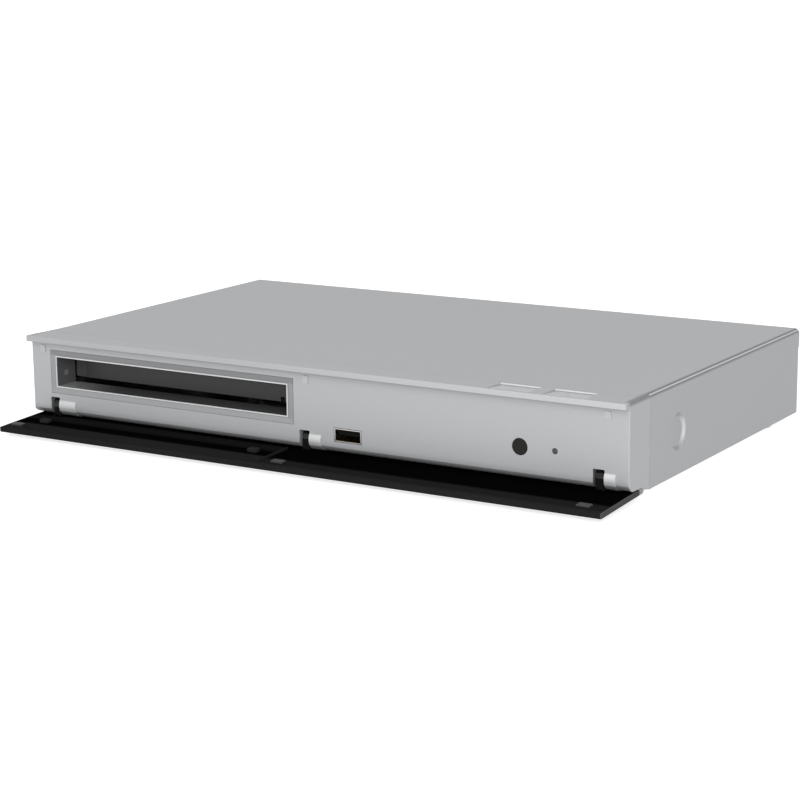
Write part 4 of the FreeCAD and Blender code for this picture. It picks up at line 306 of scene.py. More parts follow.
def finishSurround():
    facts = surroundTones
    made, flow, shader, place = newMaterial("silverSurround")
    x, y, z = axesOf(flow, place)
    low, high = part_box("tray_surround")
    side, under, over = (inset * mm for inset in facts["openInset"])
    left, right, bottom, top = low[0] + side, high[0] - side, low[2] + under, high[2] - over
    edge, wall, line = facts["edgeWidth"], facts["rimWall"] * mm, facts["rimLine"] * mm
    # Painted shade: the upper strip, the side strips and the lower strip of the bevel take three darker tones
    # of the same silver.
    tone = z.above(top + wall, edge).blend(facts["sides"], facts["upper"])
    tone = z.below(bottom - wall, edge).blend(tone, facts["lower"])
    half = (high[0] - low[0]) / 2
    # Painted shade: a dark outline along the frame's outer sides and its bottom edge.
    outer = abs(x - middle(low[0], high[0])).above(half - facts["outlineSide"] * mm, edge)
    outline = either(flow, outer, z.below(low[2] + facts["outlineLow"] * mm, edge))
    tone = outline.blend(tone, facts["outline"])
    # Painted highlight: a thin bright line round the rim of the opening.
    rim = x.between(left - line, right + line, edge) * z.between(bottom - line, top + line, edge)
    tone = rim.blend(tone, facts["rim"])
    # Painted shade in the tunnel: its floor darkens from left to right, and its left side wall is darker
    # still.
    tunnel = x.above(left + facts["fadeAt"] * mm, facts["fadeWidth"]).blend(facts["near"], facts["far"])
    sideWall = x.below(left + facts["wallSkin"] * mm, facts["wallEdge"])
    tunnel = sideWall.blend(tunnel, facts["wall"])
    front, back = map(depth, facts["patchY"])
    low, high = (top - drop * mm for drop in facts["patchDrop"])
    patch = sideWall * y.between(front, back, clean) * z.between(low, high, clean)
    tunnel = patch.blend(tunnel, facts["patch"])
    inside = y.above(depth(facts["tunnelY"]), crisp) * x.between(left - wall, right + wall, edge)
    inside = inside * z.between(bottom - wall, top + wall, edge)
    dress(flow, shader, place, silverLook, inside.blend(tone, tunnel))
    return made


# Flap: matt black inside, with painted shade darkest near the hinge and painted reflection paler on
# the pad, its rib, the posts and the arms and towards its free edge; gloss black outside. A name
# that ends in Out is mm from the hinge axis towards the free edge, and a third number is its fade.
flapTones = {
    "axisY": 8.16, "axisZ": 11.34, "openPast": 2.6, "fade": 0.5, "deep": (0.0018, 0.0018, 0.0020),
    "stripe": (0.0100, 0.0100, 0.0105), "stripeOut": (4.1, 11.0, 1.6), "padRight": -10.9, "padEdge": 0.0005,
    "front": (0.0150, 0.0150, 0.0155), "padFront": (0.020, 0.020, 0.0205), "frontOut": 20.2, "frontFade": 3.0,
    "rib": (0.019, 0.019, 0.0195), "ribX": (-11.35, -10.35), "ribOut": (4.1, 23.5, 0.2),
    "rim": (0.0205, 0.0205, 0.0210), "rimOut": 27.5,
    "post": (0.026, 0.026, 0.027), "postOut": 12.0, "postZ": 6.1,
    "arm": (0.010, 0.010, 0.0105), "armOut": 9.0, "armZ": 6.4, "armCoat": 0.6,
    "outer": (0.008, 0.008, 0.0085), "outerDown": 7.96, "outerFade": 0.1, "outerCoat": 0.4,
    "ends": (0.09, 0.09, 0.092), "endInset": 0.5, "rough": 0.42, "endRough": 0.1,
    "scratchScale": 900.0, "scratchStretch": (0.12, 1.0, 1.0), "scratchRough": 0.06}


def finishFlap():
    facts = flapTones
    made, flow, shader, place = newMaterial("blackFlap")
    x, y, z = axesOf(flow, place)
    fade = facts["fade"]
    out = (depth(facts["axisY"]) - y) * (1 / mm)
    tilt = math.radians(facts["openPast"])
    down = out * -math.sin(tilt) - (z - facts["axisZ"] * mm) * (math.cos(tilt) / mm)  # mm, square to the face
    # Painted shade and painted reflection on the inner face: deep shade by the hinge, a paler stripe on the
    # pad, paler still towards the free edge.
    stripe = out.between(*facts["stripeOut"]) * x.below(facts["padRight"] * mm, soft)
    tone = stripe.blend(facts["deep"], facts["stripe"])
    onPad = x.below(facts["padRight"] * mm, facts["padEdge"]).blend(facts["front"], facts["padFront"])
    tone = out.above(facts["frontOut"], facts["frontFade"]).blend(tone, onPad)
    # Painted reflection on the rib, the band along the free edge, the posts and the arms.
    left, right = facts["ribX"]
    rib = x.between(left * mm, right * mm, sharp) * out.between(*facts["ribOut"])
    tone = rib.blend(tone, facts["rib"])
    tone = out.above(facts["rimOut"], fade).blend(tone, facts["rim"])
    posts = out.above(facts["postOut"], fade) * z.above(facts["postZ"] * mm, clean)
    tone = posts.blend(tone, facts["post"])
    arms = out.below(facts["armOut"], fade) * z.above(facts["armZ"] * mm, soft)
    tone = arms.blend(tone, facts["arm"])
    outer = down.above(facts["outerDown"], facts["outerFade"])
    tone = outer.blend(tone, facts["outer"])
    ends = abs(x).above(inFrom(facts["endInset"]), clean)
    tone = ends.blend(tone, facts["ends"])
    dress(flow, shader, place, flapLook, tone)
    scratches = noise(flow, place, facts["scratchScale"], stretch=facts["scratchStretch"])
    rough = facts["rough"] + ends * facts["endRough"] + scratches * facts["scratchRough"]
    fasten(flow, shader, "Roughness", rough)
    fasten(flow, shader, "Coat Weight", outer * facts["outerCoat"] + arms * facts["armCoat"])
    return made


# Pressed steel cover: paint outside, bare zinc inside, painted shade along the folds broken up by
# noise, and a pressed dish in each side with painted shade at its top and bottom and a painted
# highlight on its rear half. Dish: mm back, mm below the top, radius.
coverTones = {
    "paint": coverLook["colour"], "fold": (0.13, 0.133, 0.138),
    "shadeNoiseScale": 55.0, "shadeNoiseDetail": 4.0, "shadeNoiseDepth": 0.3,
    "dish": (51.5, 22.0, 8.8), "skin": 0.5, "dishSkin": 1.4,
    "shade": (0.30, 0.303, 0.31), "shadeRing": (6.6, 8.5), "shadeEdge": 0.0012, "shadeHalf": 2.4,
    "shadeDepth": 0.8, "sideFrom": 0.1, "sideFade": 0.01,
    "moonHighlight": (0.56, 0.565, 0.575), "moonRing": (6.2, 8.2), "moonEdge": 0.0010, "moonFrom": 3.0,
    "moonHalf": 5.0, "alongFade": 0.003, "upFade": 0.004}


def finishCover():
    facts = coverTones
    made, flow, shader, place = newMaterial("paintedSteelCover")
    x, y, z = axesOf(flow, place)
    outward = abs(x)
    # Noise breaks up the painted shade along the folds.
    rubAndShadeNoise = noise(flow, place, facts["shadeNoiseScale"], facts["shadeNoiseDetail"]) * facts["shadeNoiseDepth"]
    rubAndShadeNoise = rubAndShadeNoise + (1 - facts["shadeNoiseDepth"])
    tone = (foldOf(z, outward) * rubAndShadeNoise).blend(facts["paint"], facts["fold"])
    dishY, dishDrop, dishRadius = facts["dish"]
    along = y - depth(dishY)
    upward = z - underLid(dishDrop)
    reach = reachOf(flow, along, upward)
    # Painted shade at the dish's top and bottom rims.
    low, high = (radius * mm for radius in facts["shadeRing"])
    ends = reach.between(low, high, facts["shadeEdge"])
    ends = ends * abs(along).below(facts["shadeHalf"] * mm, facts["alongFade"])
    ends = ends * outward.above(facts["sideFrom"], facts["sideFade"])
    tone = (ends * facts["shadeDepth"]).blend(tone, facts["shade"])
    # Painted highlight: a bright crescent on the dish's rear half.
    low, high = (radius * mm for radius in facts["moonRing"])
    moonHighlight = reach.between(low, high, facts["moonEdge"])
    moonHighlight = moonHighlight * along.above(facts["moonFrom"] * mm, facts["alongFade"])
    moonHighlight = moonHighlight * abs(upward).below(facts["moonHalf"] * mm, facts["upFade"])
    tone = moonHighlight.blend(tone, facts["moonHighlight"])
    dish = reach.below(dishRadius * mm, sharp)
    skin = inFrom(facts["skin"]) - dish * ((facts["dishSkin"] - facts["skin"]) * mm)
    bare = z.below(underLid(facts["skin"]), sharp) * (outward - skin).below(0.0, sharp)
    dress(flow, shader, place, coverLook, bare.blend(tone, zincLook["colour"]))
    return made


# Key caps: the strip's silver with a small generic sign in a greyer tone, a broken ring with a bar
# or a wedge over a bar. "at" is how far the sign is from the key's middle, and its mm back.
keySign = {"tone": (0.22, 0.22, 0.225), "radius": 1.25, "stroke": 0.24, "fade": 0.06, "strength": 0.55,
           "drop": 1.1, "gap": 1.6, "ringBar": (0.15, 1.25), "flatBar": -0.95, "flatStroke": 1.3,
           "slope": 0.9, "wedge": (-0.35, 0.82)}
keyCaps = {"power_button": {"finish": "powerKeySilver", "at": (-0.8, 4.3)},
           "open_button": {"finish": "openKeySilver", "at": (-1.0, 6.1)}}


def finishKey(node, facts):
    made, flow, shader, place = newMaterial(facts["finish"])
    x, y, z = axesOf(flow, place)
    low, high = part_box(node)
    offset, back = facts["at"]
    across = (x - (middle(low[0], high[0]) + offset * mm)) * (1 / mm)
    along = (y - depth(back)) * (1 / mm)
    stroke, fade, radius = keySign["stroke"], keySign["fade"], keySign["radius"]
    if node == "power_button":
        start, end = (share * radius for share in keySign["ringBar"])
        ring = abs(reachOf(flow, across, along) - radius).below(stroke / 2, fade)
        gap = abs(across).below(stroke * keySign["gap"], fade) * along.above(0, fade)
        bar = abs(across).below(stroke / 2, fade) * along.between(start, end, fade)
        sign = ring * (1 - gap) + bar
    else:
        start = radius * keySign["flatBar"]
        bar = abs(across).below(radius, fade)
        bar = bar * along.between(start, start + stroke * keySign["flatStroke"], fade)
        low, high = (share * radius for share in keySign["wedge"])
        wedge = (abs(across) + along * keySign["slope"]).below(high, fade) * along.above(low, fade)
        sign = bar + wedge
    top = z.above(underLid(keySign["drop"]), panelMoulding["pocketEdge"])
    tone = (sign * top * keySign["strength"]).blend(silverLook["colour"], keySign["tone"])
    dress(flow, shader, place, silverLook, tone)
    return made


wear("front_panel", finishPanel())
wear("tray_surround", finishSurround())
wear("front_flap", finishFlap())
wear("top_cover", finishCover())
for node, facts in keyCaps.items():
    wear(node, finishKey(node, facts))
print("front moulding, flap, cover and keys finished")


# Tray: moulded near-black with a fine spark texture, the disc's rest ring a little rubbed, and the
# wing at its front left a little paler. Middle and ring are the disc's, in mm.
trayTones = {"face": (0.032, 0.032, 0.033), "rest": (0.045, 0.045, 0.046), "middle": (-77.7, 84.3),
             "ring": (57.3, 59.7), "rubScale": 120.0, "rubDetail": 3.0,
             "wing": (0.060, 0.060, 0.062), "wingX": -138.05, "wingY": 20.0, "wingEdge": 0.0005}


def finishTray():
    facts = trayTones
    made, flow, shader, place = newMaterial("sparkTexturedTray")
    x, y = axesOf(flow, place)[:2]
    middleX, middleY = facts["middle"]
    inner, outer = (radius * mm for radius in facts["ring"])
    ring = reachOf(flow, x - middleX * mm, y - depth(middleY)).between(inner, outer, soft)
    rubAndShadeNoise = ring * noise(flow, place, facts["rubScale"], facts["rubDetail"])
    tone = rubAndShadeNoise.blend(facts["face"], facts["rest"])
    wing = x.below(facts["wingX"] * mm, clean) * y.below(depth(facts["wingY"]), facts["wingEdge"])
    dress(flow, shader, place, trayLook, wing.blend(tone, facts["wing"]))
    return made


# Boards: solder mask over traces, with tinned pads in rows. Pitches are in mm, and the fade of a
# line, a zone, a dot or a row is the last number of it.
boardLook = {"colour": (0.012, 0.085, 0.035), "rough": 0.34, "drift": 0.10, "specks": 0.08, "grain": 0.06}
boardTones = {"trace": (0.022, 0.125, 0.050), "pad": (0.58, 0.50, 0.30), "padMetal": 0.9,
              "tracePitch": 2.4, "padPitch": 5.0, "wanderScale": 38.0, "wander": 0.006,
              "line": (0.30, 0.62, 0.08), "zoneScale": 26.0, "zone": (0.5, 0.02),
              "dot": (0.016, 0.004), "rowScale": 60.0, "row": (0.57, 0.01)}


def finishBoard(name, mask, upright=False, phase=0.0):
    facts = boardTones
    made, flow, shader, place = newMaterial(name)
    x, y, z = axesOf(flow, place)
    second = z if upright else y
    wander = noise(flow, place, facts["wanderScale"], detail=1.0)
    waves = flow.math("FRACT", (x + wander * facts["wander"]) * (1 / (facts["tracePitch"] * mm)) + phase)
    lines = waves.between(*facts["line"])
    zones = noise(flow, place, facts["zoneScale"], detail=0.0).above(*facts["zone"])
    tone = (lines * zones).blend(mask, facts["trace"])
    cellX, cellY = (flow.math("FRACT", axis * (1 / (facts["padPitch"] * mm))) - 0.5 for axis in (x, second))
    dots = (cellX * cellX + cellY * cellY).below(*facts["dot"])
    pads = dots * noise(flow, place, facts["rowScale"], detail=0.0).above(*facts["row"])
    tone = pads.blend(tone, facts["pad"])
    dress(flow, shader, place, boardLook, tone)
    fasten(flow, shader, "Metallic", pads * facts["padMetal"])
    return made


wear("tray", finishTray())
wear("main_board", finishBoard("mainBoardGreen", boardLook["colour"]))
wear("front_board", finishBoard("frontBoardGreen", (0.014, 0.075, 0.045), upright=True, phase=0.37))
wear("power_board", finishBoard("powerBoardTan", (0.27, 0.20, 0.09), phase=0.71))
print("tray and boards finished")


# Turned steel: fine rings across the axis that it was turned about
turnedLook = {"colour": (0.56, 0.56, 0.57), "rough": 0.22, "metal": 1.0, "drift": 0.06, "specks": 0.14,
              "speckScale": 900.0, "stretch": (6.0, 0.05, 0.05), "grain": 0.06}
alongYLook = dict(turnedLook, stretch=(0.05, 6.0, 0.05))
screwLook = {"colour": (0.33, 0.33, 0.35), "rough": 0.33, "metal": 1.0, "drift": 0.2, "driftScale": 300.0,
             "specks": 0.15, "grain": 0.12}
brassScrewLook = dict(screwLook, colour=(0.55, 0.47, 0.26))
for node in ("flap_hinge_pins", "traverse_pins"):
    wear(node, plainFinish("turnedSteelAcross." + node, turnedLook))
for node in ("guide_rods", "lead_screw"):
    wear(node, plainFinish("turnedSteelAlong." + node, alongYLook))
for node in ("cover_screws", "panel_screws"):
    wear(node, plainFinish("darkZincScrew." + node, screwLook))
for node in ("board_screws", "loader_screws"):
    wear(node, plainFinish("yellowZincScrew." + node, brassScrewLook))


# Zinc plated sheet: pale crystals over the metal, each with its own tone and gloss
zincCells = {"scale": 230.0, "contrast": 0.12, "stretch": (0.5, 1.0, 1.0), "dark": 0.55, "gloss": 0.14}


def finishZinc(name, look):
    cells = zincCells
    made, flow, shader, place = newMaterial(name)
    stretched = flow.add("ShaderNodeMapping", None, {"Vector": place, "Scale": cells["stretch"]})
    crystal = flow.add("ShaderNodeTexVoronoi", {"feature": "F1"},
                       {"Vector": stretched, "Scale": cells["scale"]}, out="Color")
    level = axesOf(flow, crystal)[0]
    dark = tuple(part * cells["dark"] for part in look["colour"])
    dress(flow, shader, place, look, (level * cells["contrast"]).blend(look["colour"], dark))
    fasten(flow, shader, "Roughness", look["rough"] + level * cells["gloss"])
    return made


for node in ("bottom_chassis", "rear_panel", "clamper_bridge", "traverse_frame"):
    wear(node, finishZinc("zincPlatedSheet." + node, zincLook))

socketLook = {"colour": (0.55, 0.54, 0.52), "rough": 0.27, "metal": 1.0, "drift": 0.10, "driftScale": 120.0,
              "specks": 0.10, "grain": 0.06}
for node in ("hdmi_socket", "lan_socket"):
    wear(node, plainFinish("nickelShell." + node, socketLook))


# A finish of two tones, where the second shows inside a mask that the piece's own axes give
def finishTwo(name, look, second, maskOf):
    made, flow, shader, place = newMaterial(name)
    mask = maskOf(flow, axesOf(flow, place))
    dress(flow, shader, place, look, mask.blend(look["colour"], second))
    return made


# The same, where the second tone lies in patches that a noise gives, from a level and with a fade
def finishPatched(name, look, second, scale, detail, level, fade):
    made, flow, shader, place = newMaterial(name)
    patches = noise(flow, place, scale, detail).above(level, fade)
    dress(flow, shader, place, look, patches.blend(look["colour"], second))
    return made


def spanOf(node, axis):
    return [corner[axis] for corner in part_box(node)]


# Masks for a finish of two tones: a band from one mm to another off an edge, or a node's top mm
def bandOf(axis, edge, start, end):
    return lambda flow, axes: axes[axis].between(edge + start * mm, edge + end * mm, sharp)


def topBand(node, thickness):
    edge = spanOf(node, 2)[1] - thickness * mm
    return lambda flow, axes: axes[2].above(edge, sharp)


# Small parts on the front: windows, lamp, switches and stops
windowLook = {"colour": (0.0085, 0.0085, 0.0065), "rough": 0.14, "drift": 0.2, "specks": 0.05, "grain": 0.02,
              "shine": 0.18}
guideLook = {"colour": (0.045, 0.045, 0.045), "rough": 0.2, "drift": 0.1, "specks": 0.05, "grain": 0.02}
footLook = {"colour": (0.50, 0.50, 0.50), "rough": 0.62, "drift": 0.06, "specks": 0.10, "grain": 0.2}
wear("receiver_window", plainFinish("smokedWindow", windowLook))
wear("status_light_guide", plainFinish("milkyGuide", guideLook))
wear("remote_receiver", finishPatched("receiverEpoxy", windowLook, (0.05, 0.02, 0.03),
                                      scale=500.0, detail=2.0, level=0.6, fade=0.1))
wear("status_led", plainFinish("clearLampBody", dict(guideLook, colour=(0.55, 0.56, 0.52))))
wear("button_switches", finishTwo("tactSwitches", blackLook, (0.40, 0.40, 0.41),
                                  topBand("button_switches", thickness=1.2)))
wear("flap_bumpers", plainFinish("softStopGrey", dict(rubberLook, colour=(0.042, 0.042, 0.043))))
wear("panel_bumpers", plainFinish("paleMarks", dict(silverLook, colour=(0.51, 0.515, 0.525))))
wear("feet", plainFinish("paleFootMoulding", footLook))


# Sockets: moulded blacks, and pins or contacts in plated metal
goldLook = {"colour": (0.72, 0.52, 0.20), "rough": 0.24, "metal": 1.0, "drift": 0.10, "driftScale": 400.0,
            "specks": 0.08, "grain": 0.05}
wear("usb_insert", plainFinish("blackSocketInsert", dict(blackLook, colour=(0.004, 0.004, 0.0045),
                                                         shine=0.08)))
wear("usb_shell", finishTwo("nickelShellWithBrassFloor", socketLook, (0.34, 0.24, 0.10),
                            bandOf(2, spanOf("usb_shell", 2)[0], start=0.32, end=0.8)))
wear("optical_socket", finishTwo("opticalSocket", blackLook, (0.10, 0.10, 0.105),
                                 bandOf(1, spanOf("optical_socket", 1)[1], start=-1.0, end=-0.4)))
wear("mains_inlet", plainFinish("mainsInletBlack", dict(blackLook, rough=0.44)))
wear("mains_pins", plainFinish("platedMainsPins", dict(socketLook, colour=(0.62, 0.57, 0.42))))
print("metal, sockets and small front parts finished")


# Larger parts of the boards
ferriteLook = {"colour": (0.045, 0.045, 0.048), "rough": 0.55, "drift": 0.2, "specks": 0.25, "grain": 0.35,
               "grainDepth": 0.00006}
sleeveLook = {"colour": (0.010, 0.016, 0.050), "rough": 0.30, "drift": 0.1, "specks": 0.05, "grain": 0.04}
sinkLook = {"colour": (0.045, 0.046, 0.050), "rough": 0.42, "metal": 0.7, "drift": 0.1, "specks": 0.12,
            "stretch": (0.1, 1.0, 0.1), "grain": 0.10}
windingTape = {"tone": (0.62, 0.47, 0.06), "inset": 2.0, "above": 3.5}
wear("main_chip", plainFinish("chipPackage", dict(blackLook, rough=0.55)))
wear("heat_sink", plainFinish("blackAnodisedSink", sinkLook))


def tapeMask(flow, axes):
    low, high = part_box("transformer")
    edge = (high[1] - low[1]) / 2 - windingTape["inset"] * mm
    sides = abs(axes[1] - middle(low[1], high[1])).above(edge, crisp)
    return sides * axes[2].above(low[2] + windingTape["above"] * mm, crisp)


wear("transformer", finishTwo("ferriteAndTape", ferriteLook, windingTape["tone"], tapeMask))
canTone = {"top": (0.60, 0.60, 0.61), "topSkin": 0.4, "metal": 0.9, "stripe": (0.50, 0.51, 0.54),
           "stripesPerMetre": 61.0, "stripeSpan": (0.10, 0.24, 0.02)}


def finishCans():
    made, flow, shader, place = newMaterial("sleevedCapacitors")
    x, z = axesOf(flow, place)[::2]
    stripe = flow.math("FRACT", x * canTone["stripesPerMetre"]).between(*canTone["stripeSpan"])
    top = z.above(spanOf("capacitors", 2)[1] - canTone["topSkin"] * mm, sharp)
    tone = (stripe * (1 - top)).blend(sleeveLook["colour"], canTone["stripe"])
    dress(flow, shader, place, sleeveLook, top.blend(tone, canTone["top"]))
    fasten(flow, shader, "Metallic", top * canTone["metal"])
    return made


wear("capacitors", finishCans())
filmLook = {"colour": (0.55, 0.56, 0.55), "rough": 0.35, "drift": 0.1, "specks": 0.03, "grain": 0.05}
flexLook = {"colour": (0.72, 0.72, 0.70), "rough": 0.38, "drift": 0.05, "specks": 0.04, "grain": 0.05}
plugLook = {"colour": (0.68, 0.66, 0.58), "rough": 0.40, "drift": 0.06, "specks": 0.05, "grain": 0.08}
wear("insulator_sheet", plainFinish("insulatorFilm", filmLook))


# Flat cable: white film over grey copper strips that run along it, and plugs with a slot for each
# pair. Strips: how many to a metre, then where each starts and ends, and its fade.
def stripMask(across, perMetre=1000.0, start=0.22, end=0.72, fade=0.15):
    return lambda flow, axes: flow.math("FRACT", axes[across] * perMetre).between(start, end, fade)


stripTone = (0.42, 0.41, 0.39)
wear("front_cable", finishTwo("flatCableAlong", flexLook, stripTone, stripMask(0)))
wear("loader_cable", finishTwo("flatCableAcross", flexLook, stripTone, stripMask(1)))
wear("cable_plugs", finishTwo("ivoryPlugs", plugLook, (0.50, 0.48, 0.42),
                              stripMask(0, perMetre=500.0, start=0.42, end=0.58, fade=0.06)))
wireTones = {"first": (0.35, 0.015, 0.012), "second": (0.015, 0.015, 0.016), "third": (0.50, 0.36, 0.03)}


def finishWires():
    made, flow, shader, place = newMaterial("threeWireHarness")
    y = axesOf(flow, place)[1]
    low, high = spanOf("power_harness", 1)
    third = (high - low) / 3
    tone = y.above(low + third, crisp).blend(wireTones["first"], wireTones["second"])
    tone = y.above(low + 2 * third, crisp).blend(tone, wireTones["third"])
    dress(flow, shader, place, dict(flexLook, rough=0.35), tone)
    return made


wear("power_harness", finishWires())
print("boards' parts, cables and wires finished")

# Loader: black mouldings, dark acetal gears with a little grease, steel motors
loaderLook = {"colour": (0.022, 0.022, 0.023), "rough": 0.52, "drift": 0.15, "specks": 0.2, "grain": 0.25}
canLook = {"colour": (0.50, 0.50, 0.51), "rough": 0.30, "metal": 1.0, "drift": 0.12, "specks": 0.12,
           "stretch": (1.0, 1.0, 0.08), "grain": 0.08}
greaseTone = (0.085, 0.080, 0.065)
wear("loader_frame", plainFinish("loaderBlack", loaderLook))
for node in ("tray_gear", "pulley_gear"):
    wear(node, finishPatched("greasedWheel." + node, gearLook, greaseTone,
                             scale=160.0, detail=3.0, level=0.58, fade=0.12))
wear("motor_pulley", plainFinish("brassPulley", dict(goldLook, colour=(0.60, 0.48, 0.24), rough=0.3)))
wear("drive_belt", plainFinish("blackRubberBelt", dict(rubberLook, colour=(0.018, 0.018, 0.019))))
# Painted shade: the loading motor's can is painted near black where it sits in the shade under the tray.
wear("loading_motor", plainFinish("motorCanInPaintedShade", dict(canLook, colour=(0.030, 0.030, 0.033), metal=0.4,
                                                            shine=0.2)))
wear("feed_motor", plainFinish("feedMotorCan", dict(canLook, stretch=(1.0, 0.08, 1.0))))
wear("cam_slider", plainFinish("greyAcetalSlider", dict(acetalLook, colour=(0.10, 0.10, 0.105))))
wear("spindle_motor", plainFinish("spindleMotorCan", dict(canLook, colour=(0.40, 0.40, 0.41))))
wear("turntable", plainFinish("blackTurntable", dict(blackLook, rough=0.38)))
wear("clamper", plainFinish("whiteClamper", acetalLook))
castLook = {"colour": (0.30, 0.30, 0.31), "rough": 0.55, "metal": 0.8, "drift": 0.2, "driftScale": 90.0,
            "specks": 0.2, "grain": 0.35}
wear("pickup_sled", plainFinish("castSled", castLook))
lensTones = {"holder": (0.020, 0.020, 0.022), "glass": (0.10, 0.14, 0.26), "radius": 2.0, "height": 0.9,
             "rough": 0.45, "polish": 0.40, "coat": 0.8}


def finishLens():
    facts = lensTones
    made, flow, shader, place = newMaterial("objectiveLens")
    x, y, z = axesOf(flow, place)
    low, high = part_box("objective_lens")
    reach = reachOf(flow, x - middle(low[0], high[0]), y - middle(low[1], high[1]))
    glass = reach.below(facts["radius"] * mm, crisp) * z.above(high[2] - facts["height"] * mm, crisp)
    dress(flow, shader, place, blackLook, glass.blend(facts["holder"], facts["glass"]))
    fasten(flow, shader, "Roughness", facts["rough"] - glass * facts["polish"])
    fasten(flow, shader, "Coat Weight", glass * facts["coat"])
    return made


wear("objective_lens", finishLens())
print("loader and pickup finished")


# Faces over rings of points, for several copies of the same rings: each quad joins two neighbours
# on a ring to the same two on the next ring, and a flat face closes both ends of each copy
def ringFaces(rings, sides, copies=1):
    ring, side = np.meshgrid(np.arange(rings - 1), np.arange(sides), indexing="ij")
    after = (side + 1) % sides
    quads = np.stack([ring * sides + side, ring * sides + after, (ring + 1) * sides + after,
                      (ring + 1) * sides + side], axis=-1).reshape(-1, 4)
    starts = np.arange(copies)[:, None] * rings * sides
    first = np.arange(sides)[::-1] + starts
    last = np.arange(sides) + (rings - 1) * sides + starts
    return (quads + starts[:, None]).reshape(-1, 4).tolist() + first.tolist() + last.tolist()


def intoScene(name, data):
    made = bpy.data.objects.new(name, data)
    bpy.context.scene.collection.objects.link(made)
    return made


def meshPiece(name, points, faces, smoothBelow=35.0):
    mesh = bpy.data.meshes.new(name)
    mesh.from_pydata(points.reshape(-1, 3).tolist(), [], faces)
    work = bmesh.new()
    work.from_mesh(mesh)
    bmesh.ops.recalc_face_normals(work, faces=work.faces)
    work.to_mesh(mesh)
    work.free()
    mesh.polygons.foreach_set("use_smooth", np.ones(len(mesh.polygons), dtype=bool))
    mesh.set_sharp_from_angle(angle=math.radians(smoothBelow))
    mesh.update()
    return intoScene(name, mesh)


# Cosines and sines round a ring, half a step on, so that each has the sign of its quadrant
def quadrants(sides):
    angle = 2 * np.pi * (np.arange(sides) + 0.5) / sides
    return np.cos(angle), np.sin(angle)


# Blocks with rounded corners and a bevelled top. Each row of the table is x, y, z, width, depth,
# height. A ring's point is the middle plus half the side less the corner radius, signed by its
# quadrant, plus the corner radius turned by its angle. Four rings give the wall, bevel and top.
blockShape = {"corner": 0.3, "bevel": 0.15, "sides": 12, "topInset": 1.6, "cornerShare": 0.45}


def blockField(name, table, **changes):
    shape = {**blockShape, **changes}
    x, y, z, width, deep, height = (column[:, None, None] for column in np.asarray(table, dtype=float).T)
    c, s = quadrants(shape["sides"])
    bevel = shape["bevel"]
    inset = np.array([0.0, 0.0, bevel, bevel * shape["topInset"]])[:, None]
    level = np.array([0.0, 1.0, 1.0, 1.0])[:, None]
    drop = np.array([0.0, bevel, 0.0, 0.0])[:, None]
    corner = np.minimum(shape["corner"], np.minimum(width, deep) * shape["cornerShare"])
    ringX = x + np.sign(c) * (width / 2 - inset - corner) + corner * c
    ringY = y + np.sign(s) * (deep / 2 - inset - corner) + corner * s
    ringZ = np.broadcast_to(z + (height * level - drop), ringX.shape)
    points = np.stack([ringX, ringY, ringZ], axis=-1) * mm
    return meshPiece(name, points, ringFaces(len(inset), shape["sides"], len(table)))


# Wires in planes across x: at each path point a circle stands square to the path's direction,
# one copy of the wire at each x
def wireRow(name, xs, path, radius, sides=8):
    path = np.asarray(path, dtype=float) * mm
    along = np.gradient(path, axis=0)
    along /= np.linalg.norm(along, axis=1)[:, None]
    upY, upZ = -along[:, 1][:, None], along[:, 0][:, None]
    angle = 2 * np.pi * np.arange(sides) / sides
    ringX = np.broadcast_to(np.cos(angle) * radius * mm, (len(path), sides))
    ringY = path[:, 0][:, None] + upY * np.sin(angle) * radius * mm
    ringZ = path[:, 1][:, None] + upZ * np.sin(angle) * radius * mm
    xs = np.asarray(xs, dtype=float) * mm
    shift = np.stack([xs, xs * 0, xs * 0], axis=-1)[:, None, None]
    points = np.stack([ringX, ringY, ringZ], axis=-1) + shift
    return meshPiece(name, points, ringFaces(len(path), sides, len(xs)))


# Every new piece belongs to the case, and wears the finish given to it
def settle(piece, material):
    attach(piece, "case")
    wear(piece, material)


def inMm(node):
    return [[value / mm for value in corner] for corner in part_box(node)]


# Contacts of the sockets, in mm: strips and springs of plated brass. "face" is the socket's front
# or rear, "back" is how far behind it their middle or end lies, "up" is above the socket's floor.
contactGold = plainFinish("goldContacts", goldLook)
usbStrips = {"socket": "usb_shell", "count": 4, "pitch": 2.4, "face": "front", "back": 7.2, "up": 2.74,
             "size": (1.0, 8.6, 0.2), "shape": {"corner": 0.2, "bevel": 0.05, "sides": 8}}
hdmiStrips = {"socket": "hdmi_socket", "count": 9, "pitch": 1.0, "face": "rear", "back": -5.6, "up": 3.54,
              "size": (0.42, 7.0, 0.14), "shape": {"corner": 0.1, "bevel": 0.04, "sides": 8}}
lanSprings = {"socket": "lan_socket", "count": 8, "pitch": 1.02, "back": -2.0, "length": 10.6, "up": 11.0,
              "dip": 3.6, "dipTurn": 0.62, "rise": 0.9, "points": 15, "radius": 0.16}


def contactPlaces(facts):
    low, high = inMm(facts["socket"])
    steps = np.arange(facts["count"]) - (facts["count"] - 1) / 2
    return middle(low[0], high[0]) + facts["pitch"] * steps, low, high


def placeStrips(name, facts):
    xs, low, high = contactPlaces(facts)
    y = (low if facts["face"] == "front" else high)[1] + facts["back"]
    rows = [[x, y, low[2] + facts["up"], *facts["size"]] for x in xs]
    settle(blockField(name, rows, **facts["shape"]), contactGold)


